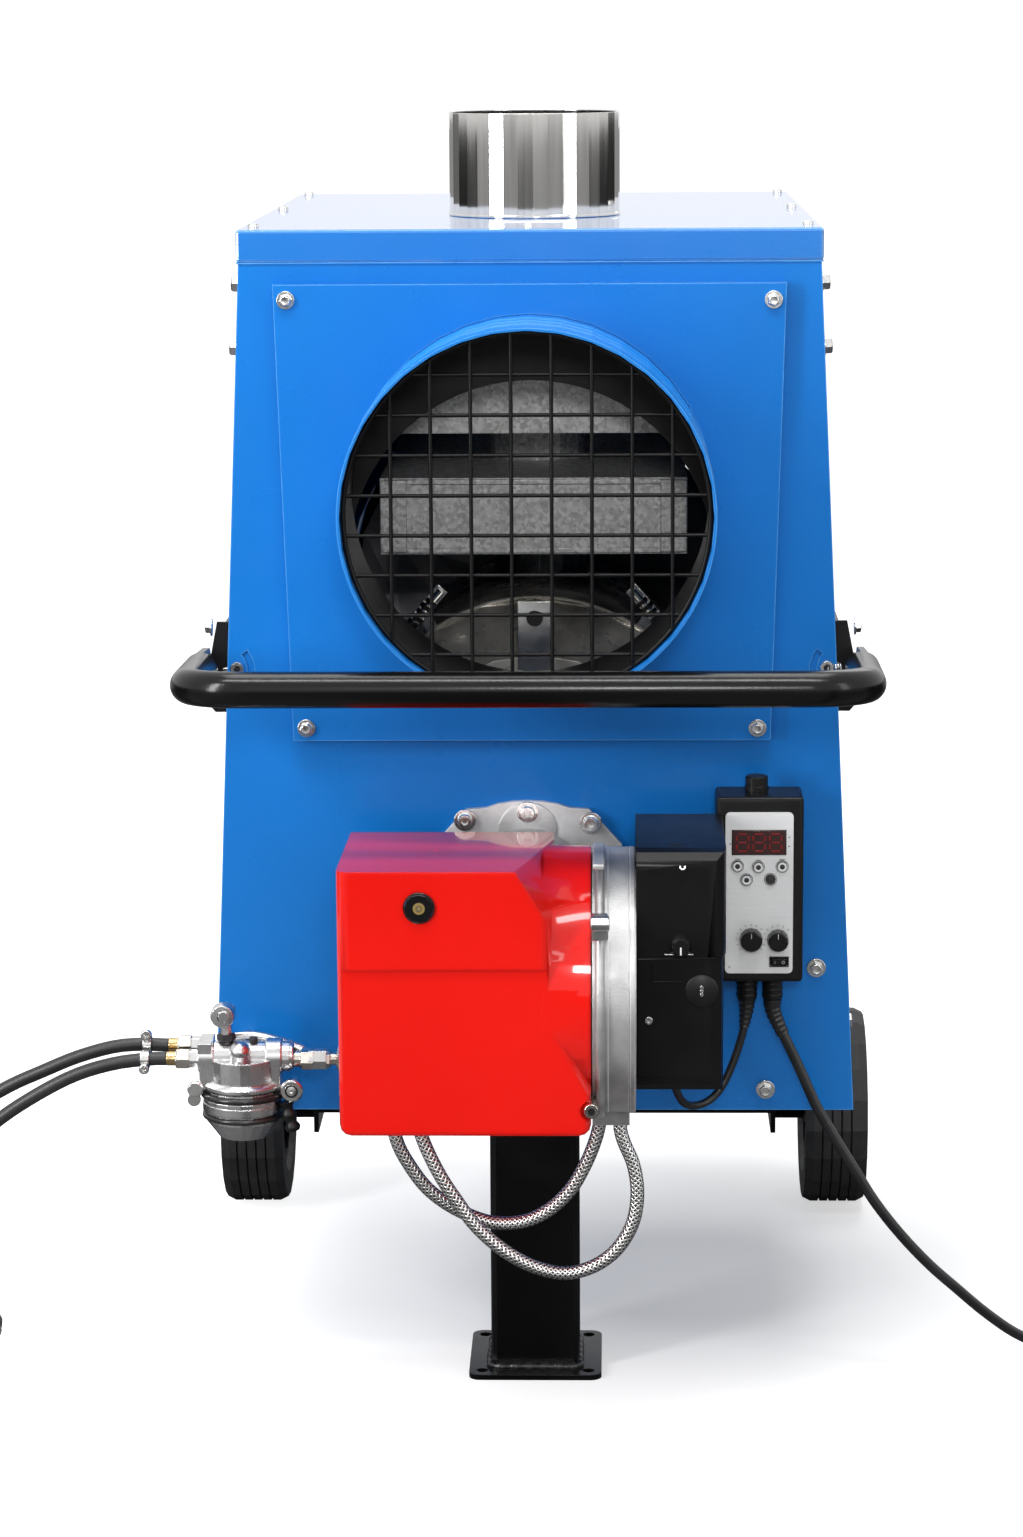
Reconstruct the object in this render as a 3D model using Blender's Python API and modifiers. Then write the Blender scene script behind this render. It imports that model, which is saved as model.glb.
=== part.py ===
"""A mobile oil furnace: a sheet-metal air heater on one leg and two wheels, with its oil burner in front.

Metres, +Z up. The cabinet's front is modelled at Y = 0 with the ground at Z = 0, and the parent empty
shifts everything in Y, so that the object stands centred on the origin.
"""

import math

import bmesh
import bpy
from mathutils import Euler, Vector

# Sheet metal, fits and mesh fineness
SHEET = 0.0015
FIT = 0.0003
OVERRUN = 0.012
ROUND_STEPS = 36
MIDDLE_STEPS = 20
SMALL_STEPS = 12
SMOOTH_ANGLE = math.radians(30)
MERGE = 0.00001
HEX_SIDES = 6
ROUTE_STEPS = 12
SEAT = 0.002

# Cabinet
DEPTH = 0.690
BASE_HEIGHT = 0.250
TOP_HEIGHT = 1.031
BASE_WIDTH = 0.570
LID_LEVEL_WIDTH = 0.500
LID_RIM = 0.028
LID_SHEET = 0.0012
LID_PLAY = 0.0005
LID_EDGE = 0.0025
FLANGE = 0.025

# Duct plate, spigot and grille
DUCT_X = 0.0
DUCT_HEIGHT = 0.802
PLATE_LOW = 0.588
PLATE_HIGH = 0.985
PLATE_LOW_WIDTH = 0.417
PLATE_HIGH_WIDTH = 0.440
PLATE_PROUD = 0.012
SPIGOT_RADIUS = 0.1570
SPIGOT_WALL = 0.0020
SPIGOT_REACH = 0.163
SPIGOT_TAIL = 0.0012
BEAD_HEIGHT = 0.0013
BEAD_WIDTH = 0.0060
BEAD_SHARES = (0.30, 0.50, 0.70)
GRILLE_INSET = 0.013
GRILLE_WIRE = 0.00175
GRILLE_PITCH = 0.0333
GRILLE_SHIFT = 0.0040
GRILLE_WIRES_EACH_SIDE = 5
BAFFLE_RADIUS = 0.190
BAFFLE_BORE = 0.159
BAFFLE_DROP = 0.0595
BAFFLE_END = 0.695
BAFFLE_SHEET = 0.0020

# Flue
FLUE_RADIUS = 0.078
FLUE_WALL = 0.0015
FLUE_TOP = 1.124
FLUE_Y = 0.2425

# Combustion side
BURNER_X = -0.004
BURNER_HEIGHT = 0.455
CHAMBER_RADIUS = 0.1675
CHAMBER_HEIGHT = 0.510
CHAMBER_FRONT = 0.150
CHAMBER_DISH_RADIUS = 0.127
CHAMBER_DISH_BACK = 0.237
CHAMBER_DISH_INSET_SHARE = 0.65
CHAMBER_BACK = 0.520
CHAMBER_WALL = 0.0020
CHAMBER_NECK_FRONT = 0.010
CRADLE_WIDTH = 0.220
CRADLE_PLATE = 0.003
CRADLE_Y_SHARES = (0.15, 0.85)
LUG_SIZE = (0.031, 0.004)
LUG_LOW = 0.610
LUG_HIGH = 0.687
LUG_HOLE = 0.0075
RISER_RADIUS = 0.045
RISER_WALL = 0.0020
CHAMBER_RISER_Y = 0.430
EXCHANGER_RISER_Y = 0.300
EXCHANGER_WIDTH = 0.276
EXCHANGER_LOW = 0.734
EXCHANGER_HIGH = 0.803
EXCHANGER_FRONT = 0.120
SMOKE_WIDTH = 0.255
SMOKE_LOW = 0.843
SMOKE_HIGH = 0.930
BOX_WALL = 0.0015
BLAST_RADIUS = 0.045
BLAST_WALL = 0.0020
BLAST_REACH = 0.175

# Fan
FAN_HEIGHT = 0.640
INLET_RADIUS = 0.1985
SHROUD_LENGTH = 0.110
GUARD_RADIUS = 0.206
GUARD_WIRE = 0.003
GUARD_RING_SHARES = (0.52, 0.76, 1.0)
GUARD_SPOKES = 6
GUARD_DISC = 0.055
GUARD_STEPS = 4
MOTOR_RADIUS = 0.052
MOTOR_LENGTH = 0.0915
SHAFT_RADIUS = 0.006
SHAFT_LENGTH = 0.026
HUB_RADIUS = 0.045
HUB_LENGTH = 0.050
HUB_GAP = 0.003
BLADE_REACH = 0.190
BLADE_COUNT = 5
BLADE_SHEET = 0.003
BLADE_CHORD = 0.042
BLADE_SPREAD = math.radians(76)
BLADE_ROWS = 4
BLADE_COLUMNS = 4
BLADE_ROOT_SHARE = 0.80
BLADE_FLATTEN_SHARE = 0.45

# Leg, axle and wheels
LEG_SIZE = 0.080
LEG_WALL = 0.003
LEG_CORNER = 0.005
LEG_Y = 0.047
FOOT_SIZE = 0.120
FOOT_SHEET = 0.005
FOOT_CORNER = 0.010
FOOT_HOLE = 0.0055
FOOT_HOLE_PITCH = 0.096
FOOT_HOLE_START = 0.2
AXLE_Y = 0.536
AXLE_RADIUS = 0.010
AXLE_CAP_RADIUS = 0.015
AXLE_CAP = 0.0025
WHEEL_RADIUS = 0.100
WHEEL_WIDTH = 0.0627
TRACK_OUTSIDE = 0.658
RIM_RADIUS = 0.0620
HUB_OUTER = 0.019
WEB_SHEET = 0.006
RIM_SHEET = 0.005
HANGER_X = 0.235
HANGER_SHEET = 0.005
HANGER_WIDTH = 0.090
HANGER_DROP = 0.018
HANGER_FOOT = 0.044
TREAD_GROOVE = 0.003
TREAD_RIBS = 5
TREAD_SHOULDER = 0.008
TREAD_GAP_SHARE = 0.25

# Handle
BAR_RADIUS = 0.015
BAR_WALL = 0.002
BAR_Y = -0.210
BAR_HEIGHT = 0.668
BAR_ARM_X = 0.283
BAR_CORNER = 0.052
BAR_SIDES = 12
BAR_CORNER_STEPS = 5
ARM_END_X = 0.2872
ARM_END_Y = -0.022
PIVOT_Y = 0.040
PIVOT_HEIGHT = 0.648
PIVOT_PIN = 0.005
PIVOT_HEAD = 0.0085
PIVOT_HEAD_LENGTH = 0.004
PIVOT_BOSS = 0.009
TONGUE_X = 0.2892
TONGUE_SHEET = 0.006
TONGUE_HALF = 0.014
TONGUE_LAP = 0.030
TONGUE_STEPS = 8
BRACKET_SHEET = 0.003
BRACKET_LOW = 0.611
BRACKET_HIGH = 0.691
BRACKET_DEPTH = 0.066
BRACKET_FRONT = 0.004
GUSSET_LOW_SHARE = 0.50
GUSSET_STEP_SHARE = 0.76
GUSSET_HIGH_SHARE = 0.56
GUSSET_REACH = 0.0165
GUSSET_CUT = 0.005
SLOT_RADIUS = 0.027
SLOT_HALF = 0.003
SLOT_FROM = math.radians(-25)
SLOT_TO = math.radians(38)
SLOT_STEPS = 6

# Burner
FLANGE_SHEET = 0.0065
FLANGE_HALF_WIDTH = 0.087
FLANGE_UP = 0.078
FLANGE_DOWN = 0.078
FLANGE_CROWN_SHARES = ((0.0, 1.0), (0.15, 0.993), (0.30, 0.965), (0.42, 0.92), (0.62, 0.905))
FLANGE_SIDE_SHARES = ((0.95, 0.50), (1.0, 0.22), (1.0, -0.30), (0.90, -0.70), (0.55, -1.0))
SCROLL_LEFT = 0.0528
SCROLL_RIGHT = 0.090
SCROLL_RADIUS = 0.113
SCROLL_Y = -0.1245
SCROLL_HEIGHT = 0.402
SCROLL_WALL = 0.0045
BODY_LEFT = -0.060
BODY_FRONT = -0.105
BODY_BACK = -0.040
BODY_LOW = 0.400
BODY_HIGH = 0.500
ARM_LOW = 0.330
ARM_BACK = -0.060
NECK_RADIUS = 0.054
PORT_SIZE = (0.032, 0.037, 0.020)
PORT_AT = (0.0690, -0.1185, 0.2860)
COVER_LEFT = -0.157
COVER_RIGHT = 0.0525
COVER_FRONT = -0.240
COVER_BACK = -0.045
COVER_LOW = 0.2945
COVER_HIGH = 0.5355
COVER_WALL = 0.003
COVER_FAR = 0.120
COVER_ROUND = 0.010
COVER_DRUM_OVER = 0.0015
COVER_DRUM_LAP = 0.008
COVER_BROW = 0.5215
COVER_BACK_HIGH = 0.5135
COVER_ROOM_GAP = 0.026
COVER_LEDGE_HEIGHT = 0.4385
COVER_LEDGE_DEPTH = 0.0025
COVER_STEP_SHARE = 0.846
COVER_STEP_LOW_SHARE = 0.165
COVER_STEP_HIGH_SHARE = 0.405
FACET_LEFT_SHARE = 0.705
FACET_RIGHT_SHARE = 0.805
FACET_LOW_SHARE = 0.800
FACET_BACK_Y = -0.085
FACET_BACK_HIGH = 0.515
NOTCH_RADIUS = 0.009
NOTCH_HEIGHT = 0.318
INTAKE_RIGHT = 0.165
INTAKE_FRONT = -0.205
INTAKE_BACK = -0.0515
INTAKE_HIGH = 0.531
SPLIT_HEIGHT = 0.4404
MOTOR_COVER_LOW = 0.323
MOTOR_COVER_RIGHT = 0.163
CASE_ROUND = 0.016
CASE_WALL = 0.003
WHEEL_FAN_RADIUS = 0.098
WHEEL_FAN_INNER = 0.078
WHEEL_FAN_LEFT = 0.060
WHEEL_FAN_RIGHT = 0.087
WHEEL_FAN_SHEET = 0.0015
WHEEL_FAN_BLADES = 8
WHEEL_FAN_HUB = 0.012
WHEEL_FAN_HUB_LENGTH = 0.009
WHEEL_FAN_BLADE_SHARE = 0.8
BURNER_SHAFT = 0.005
BURNER_SHAFT_LENGTH = 0.030
BUTTON_X = -0.0883
BUTTON_HEIGHT = 0.4915
BUTTON_RADIUS = 0.0119
BUTTON_PROUD = 0.003
BUTTON_LENGTH = 0.010
DAMPER_X = 0.127
DAMPER_HEIGHT = 0.4510
DAMPER_RADIUS = 0.0090
DAMPER_LENGTH = 0.008
DAMPER_TIP_SHARE = 0.8
PUMP_RIGHT = -0.0633
PUMP_LEFT = -0.1333
PUMP_FRONT = -0.150
PUMP_BACK = -0.050
PUMP_LOW = 0.305
PUMP_HIGH = 0.365

# Control box
BOX_LEFT = 0.1605
BOX_RIGHT = 0.2363
BOX_LOW = 0.380
BOX_HIGH = 0.545
BOX_PROUD = 0.050
BOX_ROUND = 0.003
FACE_LEFT = 0.1684
FACE_RIGHT = 0.2273
FACE_LOW = 0.3886
FACE_HIGH = 0.5320
FACE_SHEET = 0.0015
FACE_CORNER = 0.004
KEY_RADIUS = 0.0043
KEY_LENGTH = 0.0065
KEY_PROUD = 0.0022
KEY_TRAVEL_ROOM = 0.0020
KEY_PLACE_SHARES = ((0.178, 0.669), (0.485, 0.663), (0.837, 0.666), (0.312, 0.584), (0.666, 0.586))
DIAL_RADIUS_SIZES = (0.0103, 0.0096)
DIAL_LENGTH = 0.0115
DIAL_PROFILE_SHARES = ((0.0, 0.0), (1.0, 0.0), (1.0, 0.3), (0.9, 0.9), (0.82, 1.0), (0.0, 1.0))
DIAL_PLACE_SHARES = ((0.384, 0.214), (0.779, 0.211))
ROCKER_SIZE = (0.0130, 0.0040, 0.0066)
ROCKER_PLAY = 0.0013
ROCKER_PLACE_SHARES = (0.800, 0.073)
GLAND_RADIUS = 0.009
GLAND_LENGTH = 0.020
GLAND_Y = -0.028
GLAND_X_PLACES = (0.1885, 0.2110)
CAP_X = 0.196
CAP_RADIUS = 0.010
CAP_LENGTH = 0.015

# Oil filter
FILTER_X = -0.2535
FILTER_Y = -0.060
FILTER_HEIGHT = 0.316
FILTER_BAR_LEFT = -0.292
FILTER_BAR_RIGHT = -0.212
FILTER_BAR_RADIUS = 0.0135
FILTER_HEAD_RADIUS = 0.030
FILTER_HEAD_LOW = 0.288
FILTER_ARM_RADIUS = 0.008
FILTER_STEPS = 20
BOWL_RADIUS = 0.0335
BOWL_LOW = 0.245
BOWL_PROFILE_SHARES = (
    (0.0, 0.0), (0.66, 0.0), (0.92, 0.28), (1.0, 0.36), (1.0, 0.62), (1.066, 0.67), (1.066, 0.83),
    (1.0, 0.88), (1.0, 1.0), (0.0, 1.0),
)
OUTLET_RADIUS = 0.005
OUTLET_NUT = 0.0095
OUTLET_HEIGHT = 0.3135
OUTLET_NUT_LEFT = -0.196
OUTLET_NUT_RIGHT = -0.180
TAIL_RADIUS = 0.0052
TAIL_NUT = 0.0082
TAIL_NUT_LEFT = -0.312
TAIL_END = -0.3203
TAIL_YS = (-0.047, -0.066)
TAIL_HEIGHTS = (0.3223, 0.3153)
VALVE_X = -0.2680
VALVE_Y = -0.060
VALVE_STEM = 0.005
VALVE_STEM_LENGTH = 0.018
VALVE_BALL = 0.0085
VALVE_LEVER = 0.020

# Cords and hoses
MAINS_RADIUS = 0.00475
HOSE_RADIUS = 0.0060
BRAID_RADIUS = 0.0060
LEAD_RADIUS = 0.0035
TUBE_RUNG_SHARE = 4.2
COIL_GAP = 0.0007
FLOOR_GAP = 0.0002
LOOP_SPREAD_SHARE = 1.24
COIL_LOOP_POINTS = 16
MAINS_COIL_AT = (0.535, 0.1395)
MAINS_COIL_RADIUS = 0.0640
MAINS_COIL_TURNS = (2.25, 2.50)
MAINS_COIL_FROM = math.radians(-90)
HOSE_COIL_X = -0.5745
HOSE_COIL_YS = (0.077, -0.185)
HOSE_COIL_RADIUS = 0.0640
HOSE_COIL_TURNS = (1.25, 1.75)
PLUG_SLEEVE = 0.026
PLUG_SLEEVE_RADIUS = 0.0060
PLUG_NECK = 0.0080
PLUG_BODY = 0.0145
PLUG_LENGTH = 0.034
PLUG_PIN = 0.0024
PLUG_PIN_LENGTH = 0.019
PLUG_PIN_PITCH = 0.019
END_FERRULE = 0.0078
END_NUT = 0.0095
END_FERRULE_LENGTH = 0.018
END_NUT_LENGTH = 0.014

# Routes chosen by hand: the points that each cord or hose runs through
MAINS_ROUTE = (
    (0.2110, -0.0280, 0.3597), (0.2110, -0.0280, 0.3540), (0.2130, -0.0280, 0.3450),
    (0.2196, -0.0290, 0.3300), (0.2305, -0.0290, 0.3070), (0.2415, -0.0290, 0.2824),
    (0.2510, -0.0290, 0.2610), (0.2672, -0.0280, 0.2325), (0.2845, -0.0270, 0.2037),
    (0.3030, -0.0250, 0.1730), (0.3265, -0.0200, 0.1412), (0.3530, -0.0130, 0.1108),
    (0.3790, -0.0030, 0.0848), (0.4060, 0.0100, 0.0580), (0.4350, 0.0270, 0.0325),
    (0.4630, 0.0470, 0.0140), (0.4870, 0.0640, 0.0062), (0.5040, 0.0730, 0.0050),
    (0.5180, 0.0755, 0.0050), (0.5252, 0.0755, 0.0050),
)
SUPPLY_ROUTE = (
    (-0.3206, -0.0470, 0.3223), (-0.3260, -0.0470, 0.3223), (-0.3400, -0.0470, 0.3231),
    (-0.3673, -0.0470, 0.3211), (-0.4000, -0.0470, 0.3120), (-0.4300, -0.0470, 0.2995),
    (-0.4690, -0.0460, 0.2811), (-0.5190, -0.0440, 0.2480), (-0.5630, -0.0400, 0.2040),
    (-0.5980, -0.0330, 0.1520), (-0.6210, -0.0220, 0.1000), (-0.6345, -0.0030, 0.0500),
    (-0.6380, 0.0230, 0.0160), (-0.6385, 0.0490, 0.0063), (-0.6385, 0.0644, 0.0062),
)
RETURN_ROUTE = (
    (-0.3206, -0.0660, 0.3153), (-0.3260, -0.0660, 0.3153), (-0.3400, -0.0660, 0.3145),
    (-0.3677, -0.0660, 0.3105), (-0.4003, -0.0660, 0.3005), (-0.4342, -0.0660, 0.2830),
    (-0.4699, -0.0670, 0.2595), (-0.5120, -0.0700, 0.2240), (-0.5520, -0.0750, 0.1790),
    (-0.5860, -0.0830, 0.1300), (-0.6120, -0.0940, 0.0820), (-0.6290, -0.1100, 0.0400),
    (-0.6368, -0.1330, 0.0135), (-0.6385, -0.1570, 0.0063), (-0.6385, -0.1724, 0.0062),
)
INNER_ROUTE = (
    (-0.1220, -0.1180, 0.3047), (-0.1220, -0.1180, 0.2980), (-0.1215, -0.1180, 0.2880),
    (-0.1164, -0.1170, 0.2566), (-0.1054, -0.1150, 0.2333), (-0.0904, -0.1120, 0.2116),
    (-0.0698, -0.1090, 0.1944), (-0.0456, -0.1080, 0.1826), (-0.0260, -0.1080, 0.1789),
    (-0.0040, -0.1080, 0.1815), (0.0164, -0.1080, 0.1923), (0.0350, -0.1080, 0.2112),
    (0.0480, -0.1080, 0.2350), (0.0560, -0.1080, 0.2560), (0.0590, -0.1080, 0.2690),
    (0.0590, -0.1080, 0.2757),
)
OUTER_ROUTE = (
    (-0.1010, -0.1200, 0.3047), (-0.1010, -0.1200, 0.2980), (-0.1002, -0.1200, 0.2880),
    (-0.0940, -0.1210, 0.2600), (-0.0800, -0.1230, 0.2290), (-0.0645, -0.1240, 0.2043),
    (-0.0473, -0.1250, 0.1808), (-0.0249, -0.1260, 0.1608), (0.0011, -0.1270, 0.1462),
    (0.0276, -0.1270, 0.1400), (0.0520, -0.1270, 0.1455), (0.0727, -0.1270, 0.1604),
    (0.0870, -0.1270, 0.1839), (0.0916, -0.1270, 0.2110), (0.0885, -0.1270, 0.2370),
    (0.0805, -0.1270, 0.2570), (0.0770, -0.1270, 0.2690), (0.0770, -0.1270, 0.2757),
)
LEAD_ROUTE = (
    (0.1885, -0.0280, 0.3597), (0.1885, -0.0280, 0.3540), (0.1877, -0.0280, 0.3450),
    (0.1853, -0.0290, 0.3300), (0.1804, -0.0300, 0.3130), (0.1741, -0.0320, 0.2960),
    (0.1664, -0.0350, 0.2810), (0.1565, -0.0400, 0.2710), (0.1447, -0.0480, 0.2680),
    (0.1339, -0.0600, 0.2730), (0.1267, -0.0740, 0.2871), (0.1238, -0.0850, 0.3047),
    (0.1235, -0.0875, 0.3160), (0.1235, -0.0875, 0.3227),
)

# How far the object reaches in front and behind, for centring it on the origin
FRONT_REACH = COVER_FRONT - BUTTON_PROUD
REAR_REACH = DEPTH + FIT + 2 * GUARD_WIRE
CENTRE_Y = (FRONT_REACH + REAR_REACH) / 2

# Directions that a shape's own +Z can be turned to
UPRIGHT = (0.0, 0.0, 0.0)
TO_RIGHT = (0.0, math.radians(90), 0.0)
TO_FRONT = (math.radians(90), 0.0, 0.0)
TO_BACK = (math.radians(-90), 0.0, 0.0)

# Looks: colour, metallic, roughness
BLUE = ((0.010, 0.155, 0.600), 0.1, 0.35)
RED = ((0.780, 0.012, 0.006), 0.0, 0.18)
BLACK_GLOSS = ((0.010, 0.010, 0.011), 0.2, 0.18)
BLACK_MATTE = ((0.018, 0.018, 0.019), 0.0, 0.50)
RUBBER = ((0.014, 0.014, 0.014), 0.0, 0.70)
GALVANISED = ((0.480, 0.490, 0.500), 0.9, 0.40)
STAINLESS = ((0.620, 0.620, 0.610), 1.0, 0.22)
CAST = ((0.400, 0.405, 0.410), 0.9, 0.45)
DARK_STEEL = ((0.060, 0.060, 0.062), 0.8, 0.50)
WIRE_STEEL = ((0.550, 0.550, 0.550), 1.0, 0.30)
BRASS = ((0.560, 0.410, 0.180), 1.0, 0.30)
SILVER_FACE = ((0.560, 0.565, 0.570), 0.6, 0.40)


def clear_scene():
    for thing in list(bpy.data.objects):
        bpy.data.objects.remove(thing, do_unlink=True)


def new_collection(name):
    made = bpy.data.collections.new(name)
    bpy.context.scene.collection.children.link(made)
    return made


def new_root(name):
    """The empty that carries every piece and centres the object on the origin."""
    root = bpy.data.objects.new(name, None)
    root.location = (0.0, -CENTRE_Y, 0.0)
    PARTS.objects.link(root)
    return root


def paint(name, look):
    colour, metallic, roughness = look
    made = bpy.data.materials.new(name)
    made.use_nodes = True
    shader = made.node_tree.nodes["Principled BSDF"]
    shader.inputs["Base Color"].default_value = (*colour, 1.0)
    shader.inputs["Metallic"].default_value = metallic
    shader.inputs["Roughness"].default_value = roughness
    return made


def part(name, mesh, look, at=(0.0, 0.0, 0.0), turn=UPRIGHT):
    """A named piece in the object's collection, with a material of its own."""
    thing = bpy.data.objects.new(name, mesh)
    PARTS.objects.link(thing)
    mesh.materials.clear()
    mesh.materials.append(paint(name + "_look", look))
    thing.location = at
    thing.rotation_euler = turn
    thing.parent = ROOT
    return thing


def helper(mesh, at=(0.0, 0.0, 0.0), turn=UPRIGHT):
    """A shape that only cuts or joins another, kept out of the renders."""
    thing = bpy.data.objects.new("helper", mesh)
    HELPERS.objects.link(thing)
    thing.location = at
    thing.rotation_euler = turn
    thing.hide_render = True
    thing.display_type = "WIRE"
    thing.parent = ROOT
    return thing


def boolean(target, other, operation):
    """Cuts the other shape from the target, or joins it on."""
    step = target.modifiers.new(operation.lower(), "BOOLEAN")
    step.object = other
    step.operation = operation
    return target


def cut(target, *others):
    for other in others:
        boolean(target, other, "DIFFERENCE")
    return target


def join(target, *others):
    for other in others:
        boolean(target, other, "UNION")
    return target


def smooth(thing):
    thing.data.shade_smooth()
    thing.data.set_sharp_from_angle(angle=SMOOTH_ANGLE)
    return thing


def mesh_from(shape, name="shape"):
    mesh = bpy.data.meshes.new(name)
    shape.to_mesh(mesh)
    shape.free()
    return mesh


def box_mesh(size):
    shape = bmesh.new()
    bmesh.ops.create_cube(shape, size=1.0)
    bmesh.ops.scale(shape, vec=size, verts=shape.verts)
    return mesh_from(shape)


def rod_mesh(radius, length, sides=SMALL_STEPS):
    """A round bar along Z, centred on its middle."""
    shape = bmesh.new()
    bmesh.ops.create_cone(
        shape, cap_ends=True, segments=sides, radius1=radius, radius2=radius, depth=length
    )
    return mesh_from(shape)


def block(name, low, high, look):
    """A box between two corners."""
    size = [top - bottom for bottom, top in zip(low, high)]
    middle = [(top + bottom) / 2 for bottom, top in zip(low, high)]
    return part(name, box_mesh(size), look, middle)


def block_helper(low, high):
    size = [top - bottom for bottom, top in zip(low, high)]
    middle = [(top + bottom) / 2 for bottom, top in zip(low, high)]
    return helper(box_mesh(size), middle)


def rod_along_x(left, right, y, height, radius, sides=SMALL_STEPS):
    return helper(rod_mesh(radius, right - left, sides), ((left + right) / 2, y, height), TO_RIGHT)


def rod_along_y(x, front, back, height, radius, sides=SMALL_STEPS):
    return helper(rod_mesh(radius, back - front, sides), (x, (front + back) / 2, height), TO_BACK)


def rod_along_z(x, y, low, high, radius, sides=SMALL_STEPS):
    return helper(rod_mesh(radius, high - low, sides), (x, y, (low + high) / 2))


def circle(x, y, radius, steps=ROUND_STEPS, start=0.0):
    angles = [start + 2 * math.pi * step / steps for step in range(steps)]
    return [(x + radius * math.cos(angle), y + radius * math.sin(angle)) for angle in angles]


def arc(x, y, radius, start, end, steps):
    angles = [start + (end - start) * step / steps for step in range(steps + 1)]
    return [(x + radius * math.cos(angle), y + radius * math.sin(angle)) for angle in angles]


def rounded_rectangle(left, right, low, high, radius, steps=4):
    quarter = math.pi / 2
    points = arc(right - radius, high - radius, radius, 0, quarter, steps)
    points += arc(left + radius, high - radius, radius, quarter, 2 * quarter, steps)
    points += arc(left + radius, low + radius, radius, 2 * quarter, 3 * quarter, steps)
    points += arc(right - radius, low + radius, radius, 3 * quarter, 4 * quarter, steps)
    return points


def plate_mesh(outline, holes, thickness):
    """A flat plate in the XY plane, centred in its thickness, with holes."""
    curve = bpy.data.curves.new("plate", "CURVE")
    curve.dimensions = "2D"
    curve.fill_mode = "BOTH"
    curve.extrude = thickness / 2
    for loop in [outline, *holes]:
        spline = curve.splines.new("POLY")
        spline.points.add(len(loop) - 1)
        for point, (x, y) in zip(spline.points, loop):
            point.co = (x, y, 0.0, 1.0)
        spline.use_cyclic_u = True
    return welded(curve)


def welded(curve):
    """The curve as a closed mesh, with its caps joined to its sides."""
    holder = bpy.data.objects.new("curve", curve)
    bpy.context.scene.collection.objects.link(holder)
    graph = bpy.context.evaluated_depsgraph_get()
    mesh = bpy.data.meshes.new_from_object(holder.evaluated_get(graph))
    bpy.data.objects.remove(holder, do_unlink=True)
    shape = bmesh.new()
    shape.from_mesh(mesh)
    bmesh.ops.remove_doubles(shape, verts=shape.verts, dist=MERGE)
    if all(edge.is_manifold for edge in shape.edges):
        bmesh.ops.recalc_face_normals(shape, faces=shape.faces)
    shape.to_mesh(mesh)
    shape.free()
    return mesh


def tube_curve(points, radius, resolution=2, capped=True):
    """A round tube along the points."""
    curve = bpy.data.curves.new("tube", "CURVE")
    curve.dimensions = "3D"
    curve.bevel_depth = radius
    curve.bevel_resolution = resolution
    curve.use_fill_caps = capped
    spline = curve.splines.new("POLY")
    spline.points.add(len(points) - 1)
    for point, place in zip(spline.points, points):
        point.co = (*place, 1.0)
    return curve


def turned(name, profile, look, at, turn, steps=ROUND_STEPS):
    """A shape turned round its own Z from (radius, height) points, given in either sense."""
    return with_screw(part(name, profile_mesh(profile), look, at, turn), steps)


def turned_helper(profile, at, turn, steps=ROUND_STEPS):
    return with_screw(helper(profile_mesh(profile), at, turn), steps)


def profile_mesh(profile):
    """The outline's edges at +X, running down the outer side."""
    loop = list(profile)
    area = sum(r0 * z1 - r1 * z0 for (r0, z0), (r1, z1) in zip(loop, loop[1:] + loop[:1]))
    if area > 0:
        loop.reverse()
    mesh = bpy.data.meshes.new("profile")
    on_axis = [radius == 0 for radius, _ in loop]
    count = len(loop)
    edges = [
        (index, (index + 1) % count)
        for index in range(count)
        if not (on_axis[index] and on_axis[(index + 1) % count])
    ]
    mesh.from_pydata([(radius, 0.0, height) for radius, height in loop], edges, [])
    return mesh


def with_screw(thing, steps):
    screw = thing.modifiers.new("turn", "SCREW")
    screw.axis = "Z"
    screw.steps = steps
    screw.render_steps = steps
    screw.use_merge_vertices = True
    screw.merge_threshold = MERGE
    screw.use_smooth_shade = True
    return thing


def smooth_route(points, spacing):
    """Even points along a smooth curve through the route's own points."""
    places = [Vector(point) for point in points]
    ends = [2 * places[0] - places[1], *places, 2 * places[-1] - places[-2]]
    fine = [places[0]]
    for before, start, end, after in zip(ends, ends[1:], ends[2:], ends[3:]):
        for step in range(ROUTE_STEPS):
            fine.append(catmull_rom(before, start, end, after, (step + 1) / ROUTE_STEPS))
    return spaced(fine, spacing)


def catmull_rom(before, start, end, after, share):
    slope = (end - before) / 2
    last_slope = (after - start) / 2
    square, cube = share**2, share**3
    part_start = (2 * cube - 3 * square + 1) * start + (cube - 2 * square + share) * slope
    return part_start + (3 * square - 2 * cube) * end + (cube - square) * last_slope


def spaced(fine, spacing):
    lengths = [(b - a).length for a, b in zip(fine, fine[1:])]
    count = max(2, round(sum(lengths) / spacing))
    step = sum(lengths) / count
    made, travelled, target = [fine[0]], 0.0, step
    for start, end, length in zip(fine, fine[1:], lengths):
        while travelled + length >= target and len(made) < count:
            made.append(start.lerp(end, (target - travelled) / length))
            target += step
        travelled += length
    return made + [fine[-1]]


def half_width(height):
    """Half of the cabinet's width, which tapers towards the top."""
    taper = (BASE_WIDTH - LID_LEVEL_WIDTH) / 2 / (TOP_HEIGHT - LID_RIM - BASE_HEIGHT)
    return BASE_WIDTH / 2 - taper * (height - BASE_HEIGHT)


def panel_outline():
    top = TOP_HEIGHT - LID_SHEET - FIT
    low_half, top_half = half_width(BASE_HEIGHT), half_width(top)
    return [(-low_half, BASE_HEIGHT), (low_half, BASE_HEIGHT), (top_half, top), (-top_half, top)]


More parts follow.
